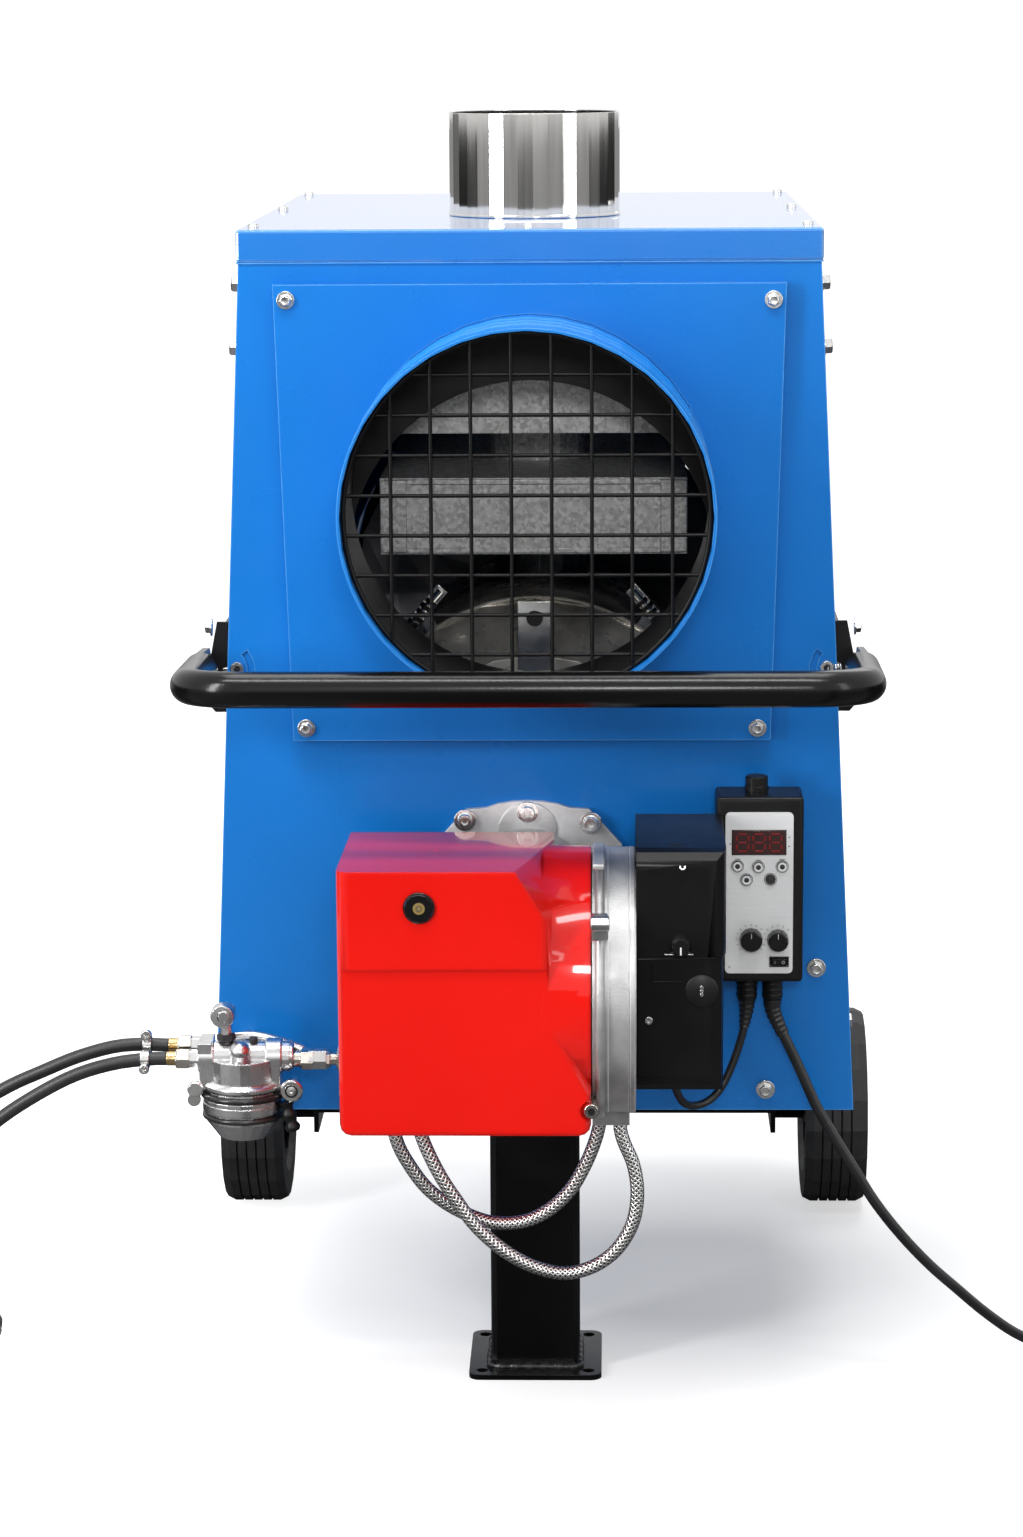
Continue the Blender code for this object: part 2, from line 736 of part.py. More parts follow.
def pin_slot(side):
    """The curved slot round a handle pivot, where its lock pin shows."""
    middle = 0.0 if side > 0 else math.pi
    x = -side * half_width(PIVOT_HEIGHT) - side * 2 * SLOT_HALF
    start, end = middle + SLOT_FROM * side, middle + SLOT_TO * side
    outer = arc(x, PIVOT_HEIGHT, SLOT_RADIUS + SLOT_HALF, start, end, SLOT_STEPS)
    inner = arc(x, PIVOT_HEIGHT, SLOT_RADIUS - SLOT_HALF, end, start, SLOT_STEPS)
    return outer + inner


def build_cabinet():
    spigot_hole = circle(DUCT_X, DUCT_HEIGHT, SPIGOT_RADIUS + FIT)
    blast_hole = circle(BURNER_X, BURNER_HEIGHT, BLAST_RADIUS + FIT)
    holes = [spigot_hole, blast_hole, pin_slot(1), pin_slot(-1)]
    front = plate_mesh(panel_outline(), holes, SHEET)
    part("front_panel", front, BLUE, (0.0, SHEET / 2, 0.0), TO_FRONT)
    for side, name in ((-1, "side_panel_left"), (1, "side_panel_right")):
        build_side_panel(name, side)
    base_half = BASE_WIDTH / 2
    inside = SHEET + FIT
    low = (-base_half, inside, BASE_HEIGHT)
    block("floor_pan", low, (base_half, DEPTH - inside, BASE_HEIGHT + SHEET), BLUE)
    build_rear_panel()
    build_lid()


def build_side_panel(name, side):
    """A folded sheet with a flange at its front and one at its back."""
    low, high = BASE_HEIGHT + SHEET + FIT, TOP_HEIGHT - LID_SHEET - FIT
    front, back = SHEET + FIT, DEPTH - SHEET - FIT
    path = [(-FLANGE, front), (0.0, front), (0.0, back), (-FLANGE, back)]
    if side < 0:
        path.reverse()
    shape = bmesh.new()
    rows = []
    for height in (low, high):
        edge = half_width(height)
        rows.append([shape.verts.new((side * (edge + x), y, height)) for x, y in path])
    bottom, top = rows
    for index in range(len(path) - 1):
        shape.faces.new((bottom[index], bottom[index + 1], top[index + 1], top[index]))
    panel = part(name, mesh_from(shape), BLUE)
    wall = panel.modifiers.new("sheet", "SOLIDIFY")
    wall.thickness = SHEET
    wall.offset = -1.0
    wall.use_even_offset = True


def build_rear_panel():
    """The back sheet with its round air inlet and the ring that guides the air to the fan."""
    inlet = circle(0.0, FAN_HEIGHT, INLET_RADIUS)
    sheet = plate_mesh(panel_outline(), [inlet], SHEET)
    panel = part("rear_panel", sheet, BLUE, (0.0, DEPTH - SHEET / 2, 0.0), TO_FRONT)
    start, end = DEPTH - SHROUD_LENGTH, DEPTH - SHEET / 2
    outer = INLET_RADIUS + SHEET
    profile = [(INLET_RADIUS, start), (outer, start), (outer, end), (INLET_RADIUS, end)]
    join(panel, turned_helper(profile, (0.0, 0.0, FAN_HEIGHT), TO_BACK))


def build_lid():
    """A shallow folded cap over the panels, open below, with a hole for the flue."""
    half = half_width(TOP_HEIGHT - LID_RIM) + LID_PLAY + LID_SHEET
    overhang = LID_PLAY + LID_SHEET
    size = (2 * half, DEPTH + 2 * overhang, LID_RIM)
    lid = part("lid", box_mesh(size), BLUE, (0.0, DEPTH / 2, TOP_HEIGHT - LID_RIM / 2))
    edge = lid.modifiers.new("edges", "BEVEL")
    edge.width = LID_EDGE
    edge.segments = 2
    inner_half = half - LID_SHEET
    low = (-inner_half, -LID_PLAY, TOP_HEIGHT - LID_RIM - OVERRUN)
    high = (inner_half, DEPTH + LID_PLAY, TOP_HEIGHT - LID_SHEET)
    hole = rod_along_z(
        0.0, FLUE_Y, TOP_HEIGHT - LID_RIM, TOP_HEIGHT + OVERRUN, FLUE_RADIUS + FIT, ROUND_STEPS
    )
    cut(lid, block_helper(low, high), hole)


def build_duct():
    """The raised plate, its round spigot with the grille, and the arched baffle behind."""
    low_half, high_half = PLATE_LOW_WIDTH / 2, PLATE_HIGH_WIDTH / 2
    proud = PLATE_PROUD - FIT
    right = [(low_half, PLATE_LOW), (high_half, PLATE_HIGH)]
    outline = [(-low_half, PLATE_LOW), *right, (-high_half, PLATE_HIGH)]
    spigot_hole = circle(DUCT_X, DUCT_HEIGHT, SPIGOT_RADIUS + FIT)
    plate = plate_mesh(outline, [spigot_hole], proud)
    tray = part("duct_plate", plate, BLUE, (0.0, -FIT - proud / 2, 0.0), TO_FRONT)
    walls = (SHEET, SHEET, -SHEET, -SHEET)
    inner = [(x - math.copysign(SHEET, x), y + wall) for (x, y), wall in zip(outline, walls)]
    collar = circle(DUCT_X, DUCT_HEIGHT, SPIGOT_RADIUS + FIT + SHEET)
    hollow_depth = proud - SHEET + OVERRUN
    hollow = plate_mesh(inner, [collar], hollow_depth)
    cut(tray, helper(hollow, (0.0, -PLATE_PROUD + SHEET + hollow_depth / 2, 0.0), TO_FRONT))

    inner_radius = SPIGOT_RADIUS - SPIGOT_WALL
    profile = [(inner_radius, SPIGOT_TAIL), (inner_radius, -SPIGOT_REACH), (SPIGOT_RADIUS, -SPIGOT_REACH)]
    for share in reversed(BEAD_SHARES):
        middle = -PLATE_PROUD - share * (SPIGOT_REACH - PLATE_PROUD)
        profile.append((SPIGOT_RADIUS, middle - BEAD_WIDTH / 2))
        profile.append((SPIGOT_RADIUS + BEAD_HEIGHT, middle))
        profile.append((SPIGOT_RADIUS, middle + BEAD_WIDTH / 2))
    profile.append((SPIGOT_RADIUS, SPIGOT_TAIL))
    turned("duct_spigot", profile, BLUE, (DUCT_X, 0.0, DUCT_HEIGHT), TO_BACK)
    build_grille(inner_radius)

    end = DUCT_HEIGHT - BAFFLE_END
    outer = math.asin(end / BAFFLE_RADIUS)
    inner = math.asin((end - BAFFLE_DROP) / BAFFLE_BORE)
    outline = arc(0.0, 0.0, BAFFLE_RADIUS, -outer, math.pi + outer, ROUND_STEPS)
    outline += arc(0.0, -BAFFLE_DROP, BAFFLE_BORE, math.pi + inner, -inner, ROUND_STEPS)
    baffle_y = SHEET + FIT + BAFFLE_SHEET / 2
    arch = plate_mesh(outline, [], BAFFLE_SHEET)
    part("air_baffle", arch, BLACK_MATTE, (DUCT_X, baffle_y, DUCT_HEIGHT), TO_FRONT)


def build_grille(bore):
    """A flat wire net with square meshes, framed by a ring inside the spigot."""
    outer = bore - FIT
    inner = outer - 2 * GRILLE_WIRE
    count = GRILLE_WIRES_EACH_SIDE
    places = [(index + 0.5) * GRILLE_PITCH for index in range(-count, count)]
    holes = []
    for left, right in zip(places, places[1:]):
        for low, high in zip(places, places[1:]):
            edges = (left + GRILLE_SHIFT + GRILLE_WIRE, right + GRILLE_SHIFT - GRILLE_WIRE)
            mesh_hole = clipped_cell(*edges, low + GRILLE_WIRE, high - GRILLE_WIRE, inner)
            if len(mesh_hole) > 2:
                holes.append(mesh_hole)
    net = plate_mesh(circle(0.0, 0.0, outer), holes, 2 * GRILLE_WIRE)
    y = -SPIGOT_REACH + GRILLE_INSET
    part("outlet_grille", net, WIRE_STEEL, (DUCT_X, y, DUCT_HEIGHT), TO_FRONT)


def clipped_cell(left, right, low, high, radius):
    """The corners of a cell that lie inside a round frame, with the places where its sides cross it."""
    corners = [(left, low), (right, low), (right, high), (left, high)]
    kept = []
    for (x0, y0), (x1, y1) in zip(corners, corners[1:] + corners[:1]):
        if math.hypot(x0, y0) < radius:
            kept.append((x0, y0))
        for share in circle_crossings(x0, y0, x1, y1, radius):
            kept.append((x0 + (x1 - x0) * share, y0 + (y1 - y0) * share))
    across = [math.dist(a, b) for a, b in zip(kept, kept[1:] + kept[:1])]
    return kept if kept and max(across) > 2 * GRILLE_WIRE else []


def circle_crossings(x0, y0, x1, y1, radius):
    dx, dy = x1 - x0, y1 - y0
    a, b, c = dx * dx + dy * dy, x0 * dx + y0 * dy, x0 * x0 + y0 * y0 - radius * radius
    under = b * b - a * c
    if under <= 0:
        return []
    root = math.sqrt(under)
    return [share for share in ((-b - root) / a, (-b + root) / a) if 0 < share < 1]


def build_flue():
    low = SMOKE_HIGH + FIT
    inner = FLUE_RADIUS - FLUE_WALL
    profile = [(inner, low), (FLUE_RADIUS, low), (FLUE_RADIUS, FLUE_TOP), (inner, FLUE_TOP)]
    turned("flue_pipe", profile, STAINLESS, (0.0, FLUE_Y, 0.0), UPRIGHT)


def build_combustion():
    build_chamber()
    riser_bore = RISER_RADIUS - RISER_WALL
    half, top = EXCHANGER_WIDTH / 2, EXCHANGER_HIGH
    front, back = EXCHANGER_FRONT, CHAMBER_BACK
    lower = block("heat_exchanger", (-half, front, EXCHANGER_LOW), (half, back, top), GALVANISED)
    join(lower, rod_along_z(0.0, EXCHANGER_RISER_Y, top - OVERRUN, SMOKE_LOW - FIT, RISER_RADIUS))
    hollow(lower, half, EXCHANGER_FRONT, EXCHANGER_LOW, top)
    inlet = rod_along_z(0.0, CHAMBER_RISER_Y, EXCHANGER_LOW - OVERRUN, EXCHANGER_LOW + OVERRUN, riser_bore)
    cut(lower, inlet)
    cut(lower, rod_along_z(0.0, EXCHANGER_RISER_Y, top - OVERRUN, SMOKE_LOW + OVERRUN, riser_bore))

    half = SMOKE_WIDTH / 2
    upper = block("smoke_box", (-half, front, SMOKE_LOW), (half, back, SMOKE_HIGH), GALVANISED)
    hollow(upper, half, EXCHANGER_FRONT, SMOKE_LOW, SMOKE_HIGH)
    cut(upper, rod_along_z(0.0, EXCHANGER_RISER_Y, SMOKE_LOW - OVERRUN, SMOKE_LOW + OVERRUN, riser_bore))
    flue_bore = FLUE_RADIUS - FLUE_WALL
    cut(upper, rod_along_z(0.0, FLUE_Y, SMOKE_HIGH - OVERRUN, SMOKE_HIGH + OVERRUN, flue_bore, ROUND_STEPS))


def hollow(box, half, front, low, high):
    """Leaves only the sheet walls of a box."""
    inner_low = (-half + BOX_WALL, front + BOX_WALL, low + BOX_WALL)
    cut(box, block_helper(inner_low, (half - BOX_WALL, CHAMBER_BACK - BOX_WALL, high - BOX_WALL)))


def build_chamber():
    """The drum that the flame burns in, on its cradle, with a neck for the blast tube and a riser."""
    steps = MIDDLE_STEPS
    length = CHAMBER_BACK - CHAMBER_FRONT
    at = (0.0, 0.0, CHAMBER_HEIGHT)
    body = [
        (0.0, CHAMBER_FRONT), (CHAMBER_DISH_RADIUS, CHAMBER_FRONT), (CHAMBER_RADIUS, CHAMBER_DISH_BACK),
        (CHAMBER_RADIUS, CHAMBER_BACK), (0.0, CHAMBER_BACK),
    ]
    drum = turned("combustion_chamber", body, DARK_STEEL, at, TO_BACK, steps)
    neck_radius = BLAST_RADIUS + FIT + CHAMBER_WALL
    neck_end = CHAMBER_FRONT + CHAMBER_WALL + OVERRUN
    join(drum, rod_along_y(BURNER_X, CHAMBER_NECK_FRONT, neck_end, BURNER_HEIGHT, neck_radius, ROUND_STEPS))
    join(drum, rod_along_z(0.0, CHAMBER_RISER_Y, CHAMBER_HEIGHT, EXCHANGER_LOW - FIT, RISER_RADIUS))
    for share in CRADLE_Y_SHARES:
        y = CHAMBER_FRONT + share * length
        low = (-CRADLE_WIDTH / 2, y - CRADLE_PLATE / 2, BASE_HEIGHT + SHEET + FIT)
        join(drum, block_helper(low, (CRADLE_WIDTH / 2, y + CRADLE_PLATE / 2, CHAMBER_HEIGHT)))
    width, thick = LUG_SIZE
    lug_back = CHAMBER_FRONT + FIT
    join(drum, block_helper((-width / 2, lug_back - thick, LUG_LOW), (width / 2, lug_back, LUG_HIGH)))
    inset = CHAMBER_WALL * CHAMBER_DISH_INSET_SHARE
    inner = CHAMBER_RADIUS - CHAMBER_WALL
    front, back = CHAMBER_FRONT + CHAMBER_WALL, CHAMBER_BACK - CHAMBER_WALL
    space = [
        (0.0, front), (CHAMBER_DISH_RADIUS - inset, front), (inner, CHAMBER_DISH_BACK), (inner, back),
        (0.0, back),
    ]
    cut(drum, turned_helper(space, at, TO_BACK, steps))
    neck_bore = BLAST_RADIUS + FIT
    cut(drum, rod_along_y(BURNER_X, -OVERRUN, neck_end + OVERRUN, BURNER_HEIGHT, neck_bore, ROUND_STEPS))
    riser_bore = RISER_RADIUS - RISER_WALL
    cut(drum, rod_along_z(0.0, CHAMBER_RISER_Y, CHAMBER_HEIGHT, EXCHANGER_LOW + OVERRUN, riser_bore))
    hole_height = LUG_HIGH - width / 2
    cut(drum, rod_along_y(0.0, lug_back - OVERRUN, lug_back + OVERRUN, hole_height, LUG_HOLE))


def build_fan():
    guard_y = DEPTH + FIT + GUARD_WIRE
    rings = [GUARD_RADIUS * share for share in GUARD_RING_SHARES]
    cells = []
    for inner, outer in zip([GUARD_DISC] + rings, rings):
        low = inner if inner == GUARD_DISC else inner + GUARD_WIRE
        for index in range(GUARD_SPOKES):
            start = 2 * math.pi * index / GUARD_SPOKES
            cells.append(sector(low, outer - GUARD_WIRE, start, start + 2 * math.pi / GUARD_SPOKES))
    guard = plate_mesh(circle(0.0, 0.0, GUARD_RADIUS + GUARD_WIRE), cells, 2 * GUARD_WIRE)
    part("fan_guard", guard, BLACK_GLOSS, (0.0, guard_y, FAN_HEIGHT), TO_BACK)

    motor_back = guard_y - GUARD_WIRE - FIT
    motor_front = motor_back - MOTOR_LENGTH
    profile = [
        (0.0, motor_front - SHAFT_LENGTH),
        (SHAFT_RADIUS, motor_front - SHAFT_LENGTH),
        (SHAFT_RADIUS, motor_front),
        (MOTOR_RADIUS - 2 * SHAFT_RADIUS, motor_front),
        (MOTOR_RADIUS, motor_front + SHAFT_RADIUS),
        (MOTOR_RADIUS, motor_back),
        (0.0, motor_back),
    ]
    turned("fan_motor", profile, CAST, (0.0, 0.0, FAN_HEIGHT), TO_BACK, SMALL_STEPS)
    build_impeller(motor_front - HUB_GAP)


def sector(inner, outer, start, end):
    """An opening between two rings of the guard and two of its spokes, which have parallel sides."""
    near = math.asin(GUARD_WIRE / inner)
    far = math.asin(GUARD_WIRE / outer)
    back = arc(0.0, 0.0, inner, start + near, end - near, GUARD_STEPS)
    return arc(0.0, 0.0, outer, start + far, end - far, GUARD_STEPS) + back[::-1]


def build_impeller(hub_back):
    """Five twisted blades on a hub, which sits on the motor's shaft."""
    hub_middle = hub_back - HUB_LENGTH / 2
    hub = rod_mesh(HUB_RADIUS, HUB_LENGTH, SMALL_STEPS)
    impeller = part("fan_impeller", hub, GALVANISED, (0.0, hub_middle, FAN_HEIGHT), TO_BACK)
    for index in range(BLADE_COUNT):
        turn = 2 * math.pi * index / BLADE_COUNT
        join(impeller, helper(blade_mesh(turn), (0.0, hub_middle, FAN_HEIGHT), TO_BACK))
    bore_front = hub_back - SHAFT_LENGTH - FIT
    cut(impeller, rod_along_y(0.0, bore_front, hub_back + OVERRUN, FAN_HEIGHT, SHAFT_RADIUS + FIT))


def blade_mesh(turn):
    """One blade as a closed shell, turned round Z, whose pitch flattens towards its tip."""
    shape = bmesh.new()
    columns = BLADE_COLUMNS
    root = BLADE_ROOT_SHARE * HUB_RADIUS
    sides = []
    for lift in (BLADE_SHEET / 2, -BLADE_SHEET / 2):
        rows = []
        for row in range(BLADE_ROWS + 1):
            share = row / BLADE_ROWS
            radius = root + (BLADE_REACH - root) * share
            rise = BLADE_CHORD * (1.0 - BLADE_FLATTEN_SHARE * share)
            line = []
            for column in range(columns + 1):
                across = column / columns - 0.5
                angle = turn + across * BLADE_SPREAD
                place = (radius * math.cos(angle), radius * math.sin(angle), across * rise + lift)
                line.append(shape.verts.new(place))
            rows.append(line)
        sides.append(rows)
    for rows in sides:
        for near, far in zip(rows, rows[1:]):
            for a, b, c, d in zip(near, near[1:], far[1:], far):
                shape.faces.new((a, b, c, d))
    rims = [(side[0], side[-1]) for side in sides]
    for upper, lower in zip(rims[0], rims[1]):
        for a, b, c, d in zip(upper, upper[1:], lower[1:], lower):
            shape.faces.new((a, b, c, d))
    for column in (0, columns):
        upper = [line[column] for line in sides[0]]
        lower = [line[column] for line in sides[1]]
        for a, b, c, d in zip(upper, upper[1:], lower[1:], lower):
            shape.faces.new((a, b, c, d))
    bmesh.ops.recalc_face_normals(shape, faces=shape.faces)
    return mesh_from(shape)


def build_leg():
    """The square leg, welded on a foot plate with a hole in each corner."""
    half = FOOT_SIZE / 2
    pitch = FOOT_HOLE_PITCH / 2
    outline = rounded_rectangle(-half, half, -half, half, FOOT_CORNER)
    places = [(x, y) for x in (-pitch, pitch) for y in (-pitch, pitch)]
    holes = [circle(x, y, FOOT_HOLE, SMALL_STEPS, FOOT_HOLE_START) for x, y in places]
    foot = plate_mesh(outline, holes, FOOT_SHEET)
    leg = part("front_leg", foot, BLACK_GLOSS, (0.0, LEG_Y, FOOT_SHEET / 2))
    outer, inner = LEG_SIZE / 2, LEG_SIZE / 2 - LEG_WALL
    top = BASE_HEIGHT - FIT
    profile = rounded_rectangle(-outer, outer, -outer, outer, LEG_CORNER, 2)
    bore = rounded_rectangle(-inner, inner, -inner, inner, LEG_CORNER - LEG_WALL, 1)
    tube = plate_mesh(profile, [bore], top - FOOT_SHEET / 2)
    join(leg, helper(tube, (0.0, LEG_Y, (top + FOOT_SHEET / 2) / 2)))


def build_axle():
    """The axle with its end caps, welded in two hangers under the floor pan."""
    outer = TRACK_OUTSIDE / 2
    cap_end = outer - FIT
    length = 2 * (cap_end - AXLE_CAP / 2)
    at = (0.0, AXLE_Y, WHEEL_RADIUS)
    axle = part("axle_frame", rod_mesh(AXLE_RADIUS, length), BLACK_GLOSS, at, TO_RIGHT)
    for side in (-1, 1):
        cap = sorted((side * (cap_end - AXLE_CAP), side * cap_end))
        join(axle, rod_along_x(*cap, AXLE_Y, WHEEL_RADIUS, AXLE_CAP_RADIUS))
        sleeve = sorted((side * HANGER_X, side * (outer - WHEEL_WIDTH + AXLE_CAP - FIT)))
        join(axle, rod_along_x(*sleeve, AXLE_Y, WHEEL_RADIUS, AXLE_CAP_RADIUS))
        foot_inner, foot_outer = sorted((side * (HANGER_X - HANGER_FOOT), side * HANGER_X))
        front, back = AXLE_Y - HANGER_WIDTH / 2, AXLE_Y + HANGER_WIDTH / 2
        plate_left = side * HANGER_X - HANGER_SHEET / 2
        low = (plate_left, front, WHEEL_RADIUS - HANGER_DROP)
        join(axle, block_helper(low, (plate_left + HANGER_SHEET, back, BASE_HEIGHT - FIT)))
        foot_low = (foot_inner, front - FIT, BASE_HEIGHT - FIT - HANGER_SHEET)
        foot_high = (foot_outer, back + FIT, BASE_HEIGHT - FIT - FIT)
        join(axle, block_helper(foot_low, foot_high))


def tyre_profile():
    """Half-round shoulders and five ribs round the tread."""
    half = WHEEL_WIDTH / 2
    shoulder = half - TREAD_SHOULDER
    points = [(RIM_RADIUS, -half + TREAD_SHOULDER / 2), (RIM_RADIUS + TREAD_SHOULDER, -half)]
    points.append((WHEEL_RADIUS - TREAD_SHOULDER / 2, -half))
    rib = 2 * shoulder / (TREAD_RIBS + (TREAD_RIBS - 1) * TREAD_GAP_SHARE)
    place = -shoulder
    for index in range(TREAD_RIBS):
        points += [(WHEEL_RADIUS, place), (WHEEL_RADIUS, place + rib)]
        if index < TREAD_RIBS - 1:
            points.append((WHEEL_RADIUS - TREAD_GROOVE, place + rib * (1 + TREAD_GAP_SHARE / 2)))
        place += rib * (1 + TREAD_GAP_SHARE)
    points.append((WHEEL_RADIUS - TREAD_SHOULDER / 2, half))
    points += [(RIM_RADIUS + TREAD_SHOULDER, half), (RIM_RADIUS, half - TREAD_SHOULDER / 2)]
    return points


def rim_profile():
    """The hub, the web and the rim's round wall, cut through one side."""
    outer = RIM_RADIUS - FIT
    bore = AXLE_RADIUS + FIT
    half = WHEEL_WIDTH / 2
    wall = half - TREAD_SHOULDER / 2
    hub = half - AXLE_CAP - 2 * FIT
    return [
        (bore, -hub), (HUB_OUTER, -hub), (HUB_OUTER, -WEB_SHEET / 2), (outer - RIM_SHEET, -WEB_SHEET / 2),
        (outer - RIM_SHEET, -wall), (outer, -wall), (outer, wall), (outer - RIM_SHEET, wall),
        (outer - RIM_SHEET, WEB_SHEET / 2), (HUB_OUTER, WEB_SHEET / 2), (HUB_OUTER, hub), (bore, hub),
    ]


def build_wheels():
    for side, name in ((-1, "left"), (1, "right")):
        at = (side * (TRACK_OUTSIDE - WHEEL_WIDTH) / 2, AXLE_Y, WHEEL_RADIUS)
        turned("tyre_" + name, tyre_profile(), RUBBER, at, TO_RIGHT, MIDDLE_STEPS)
        turned("wheel_rim_" + name, rim_profile(), BLACK_MATTE, at, TO_RIGHT, MIDDLE_STEPS)


def bar_path():
    """The handle's centre line, from the left arm's end round to the right arm's."""
    corner_y = BAR_Y + BAR_CORNER
    slope = (BAR_HEIGHT - PIVOT_HEIGHT) / (PIVOT_Y - BAR_Y)
    half = []
    for step in range(BAR_CORNER_STEPS + 1):
        angle = math.pi / 2 * step / BAR_CORNER_STEPS
        x = BAR_ARM_X - BAR_CORNER + BAR_CORNER * math.cos(angle)
        y = corner_y - BAR_CORNER * math.sin(angle)
        half.append((x, y, BAR_HEIGHT - slope * (y - BAR_Y)))
    half.insert(0, (ARM_END_X, ARM_END_Y, BAR_HEIGHT - slope * (ARM_END_Y - BAR_Y)))
    return [(-x, y, z) for x, y, z in half] + [(x, y, z) for x, y, z in reversed(half)]


def build_handle():
    """The bent tube with a flat tongue at each end, hung on its two brackets."""
    origin = Vector((0.0, PIVOT_Y, PIVOT_HEIGHT))
    path = [Vector(point) - origin for point in bar_path()]
    mesh = welded(tube_curve(path, BAR_RADIUS, (BAR_SIDES - 4) // 4, capped=False))
    bar = part("handle_bar", mesh, BLACK_GLOSS, origin)
    wall = bar.modifiers.new("wall", "SOLIDIFY")
    wall.thickness = BAR_WALL
    wall.offset = -1.0
    slope = math.atan2(BAR_HEIGHT - PIVOT_HEIGHT, PIVOT_Y - BAR_Y)
    length = PIVOT_Y - ARM_END_Y + TONGUE_LAP
    quarter = math.pi / 2
    outline = arc(0.0, 0.0, TONGUE_HALF, -quarter, quarter, TONGUE_STEPS)
    outline = [(x, y) for y, x in outline] + [(TONGUE_HALF, -length), (-TONGUE_HALF, -length)]
    tongue = plate_mesh(outline, [circle(0.0, 0.0, PIVOT_PIN + FIT, SMALL_STEPS)], TONGUE_SHEET)
    flat = Euler((0.0, math.radians(90), 0.0)).to_quaternion()
    raised = Euler((-slope, 0.0, 0.0)).to_quaternion()
    for side in (-1, 1):
        at = (side * TONGUE_X, PIVOT_Y, PIVOT_HEIGHT)
        join(bar, helper(tongue, at, (raised @ flat).to_euler()))
    for side, name in ((-1, "handle_bracket_left"), (1, "handle_bracket_right")):
        build_bracket(name, side)


def build_bracket(name, side):
    """A side plate on the cabinet with a gusset in front and the pivot pin with its head."""
    lean = math.atan2(half_width(BRACKET_LOW) - half_width(BRACKET_HIGH), BRACKET_HIGH - BRACKET_LOW)
    tall = BRACKET_HIGH - BRACKET_LOW
    middle_height = (BRACKET_LOW + BRACKET_HIGH) / 2
    panel_x = half_width(middle_height) + (FIT + BRACKET_SHEET / 2) / math.cos(lean)
    at = (side * panel_x, BRACKET_FRONT + BRACKET_DEPTH / 2, middle_height)
    plate = box_mesh((BRACKET_SHEET, BRACKET_DEPTH, tall))
    bracket = part(name, plate, BLACK_MATTE, at, (0.0, -side * lean, 0.0))

    root = half_width(BRACKET_HIGH) + BRACKET_SHEET / 2
    foot = half_width(BRACKET_LOW) + BRACKET_SHEET / 2
    edge = [
        (foot + BRACKET_SHEET / 2, BRACKET_LOW),
        (foot + GUSSET_LOW_SHARE * GUSSET_REACH, BRACKET_LOW),
        (foot + GUSSET_STEP_SHARE * GUSSET_REACH, BRACKET_LOW + GUSSET_CUT),
        (half_width(middle_height) + FIT + GUSSET_REACH, middle_height),
        (root + GUSSET_HIGH_SHARE * GUSSET_REACH, BRACKET_HIGH),
        (root + BRACKET_SHEET / 2, BRACKET_HIGH),
    ]
    outline = [(side * x, y) for x, y in edge]
    gusset = plate_mesh(outline, [], BRACKET_SHEET)
    join(bracket, helper(gusset, (0.0, BRACKET_FRONT + BRACKET_SHEET / 2, 0.0), TO_FRONT))
    tongue_inner = TONGUE_X - TONGUE_SHEET / 2 - FIT
    tongue_outer = TONGUE_X + TONGUE_SHEET / 2 + FIT
    head_end = tongue_outer + PIVOT_HEAD_LENGTH
    for start, end, radius in (
        (panel_x, tongue_inner, PIVOT_BOSS),
        (panel_x, head_end - FIT, PIVOT_PIN),
        (tongue_outer, head_end, PIVOT_HEAD),
    ):
        span = sorted((side * start, side * end))
        join(bracket, rod_along_x(*span, PIVOT_Y, PIVOT_HEIGHT, radius))


def flange_outline():
    """The cast plate behind the burner: a round top between two cut corners."""
    right = []
    for across, up in FLANGE_CROWN_SHARES + FLANGE_SIDE_SHARES:
        height = up * (FLANGE_UP if up > 0 else FLANGE_DOWN)
        right.append((across * FLANGE_HALF_WIDTH, height))
    points = right + [(-x, y) for x, y in reversed(right[1:])]
    return [(BURNER_X + x, BURNER_HEIGHT + y) for x, y in points]


def build_burner():
    hole = circle(BURNER_X, BURNER_HEIGHT, BLAST_RADIUS + FIT)
    flange = plate_mesh(flange_outline(), [hole], FLANGE_SHEET)
    part("burner_flange", flange, CAST, (0.0, -FIT - FLANGE_SHEET / 2, 0.0), TO_FRONT)
    inner = BLAST_RADIUS - BLAST_WALL
    front = -FLANGE_SHEET
    tube = [(inner, front), (BLAST_RADIUS, front), (BLAST_RADIUS, BLAST_REACH), (inner, BLAST_REACH)]
    turned("blast_tube", tube, STAINLESS, (BURNER_X, 0.0, BURNER_HEIGHT), TO_BACK)
    build_housing()
    build_cover()
    build_intake()
    build_burner_fan()


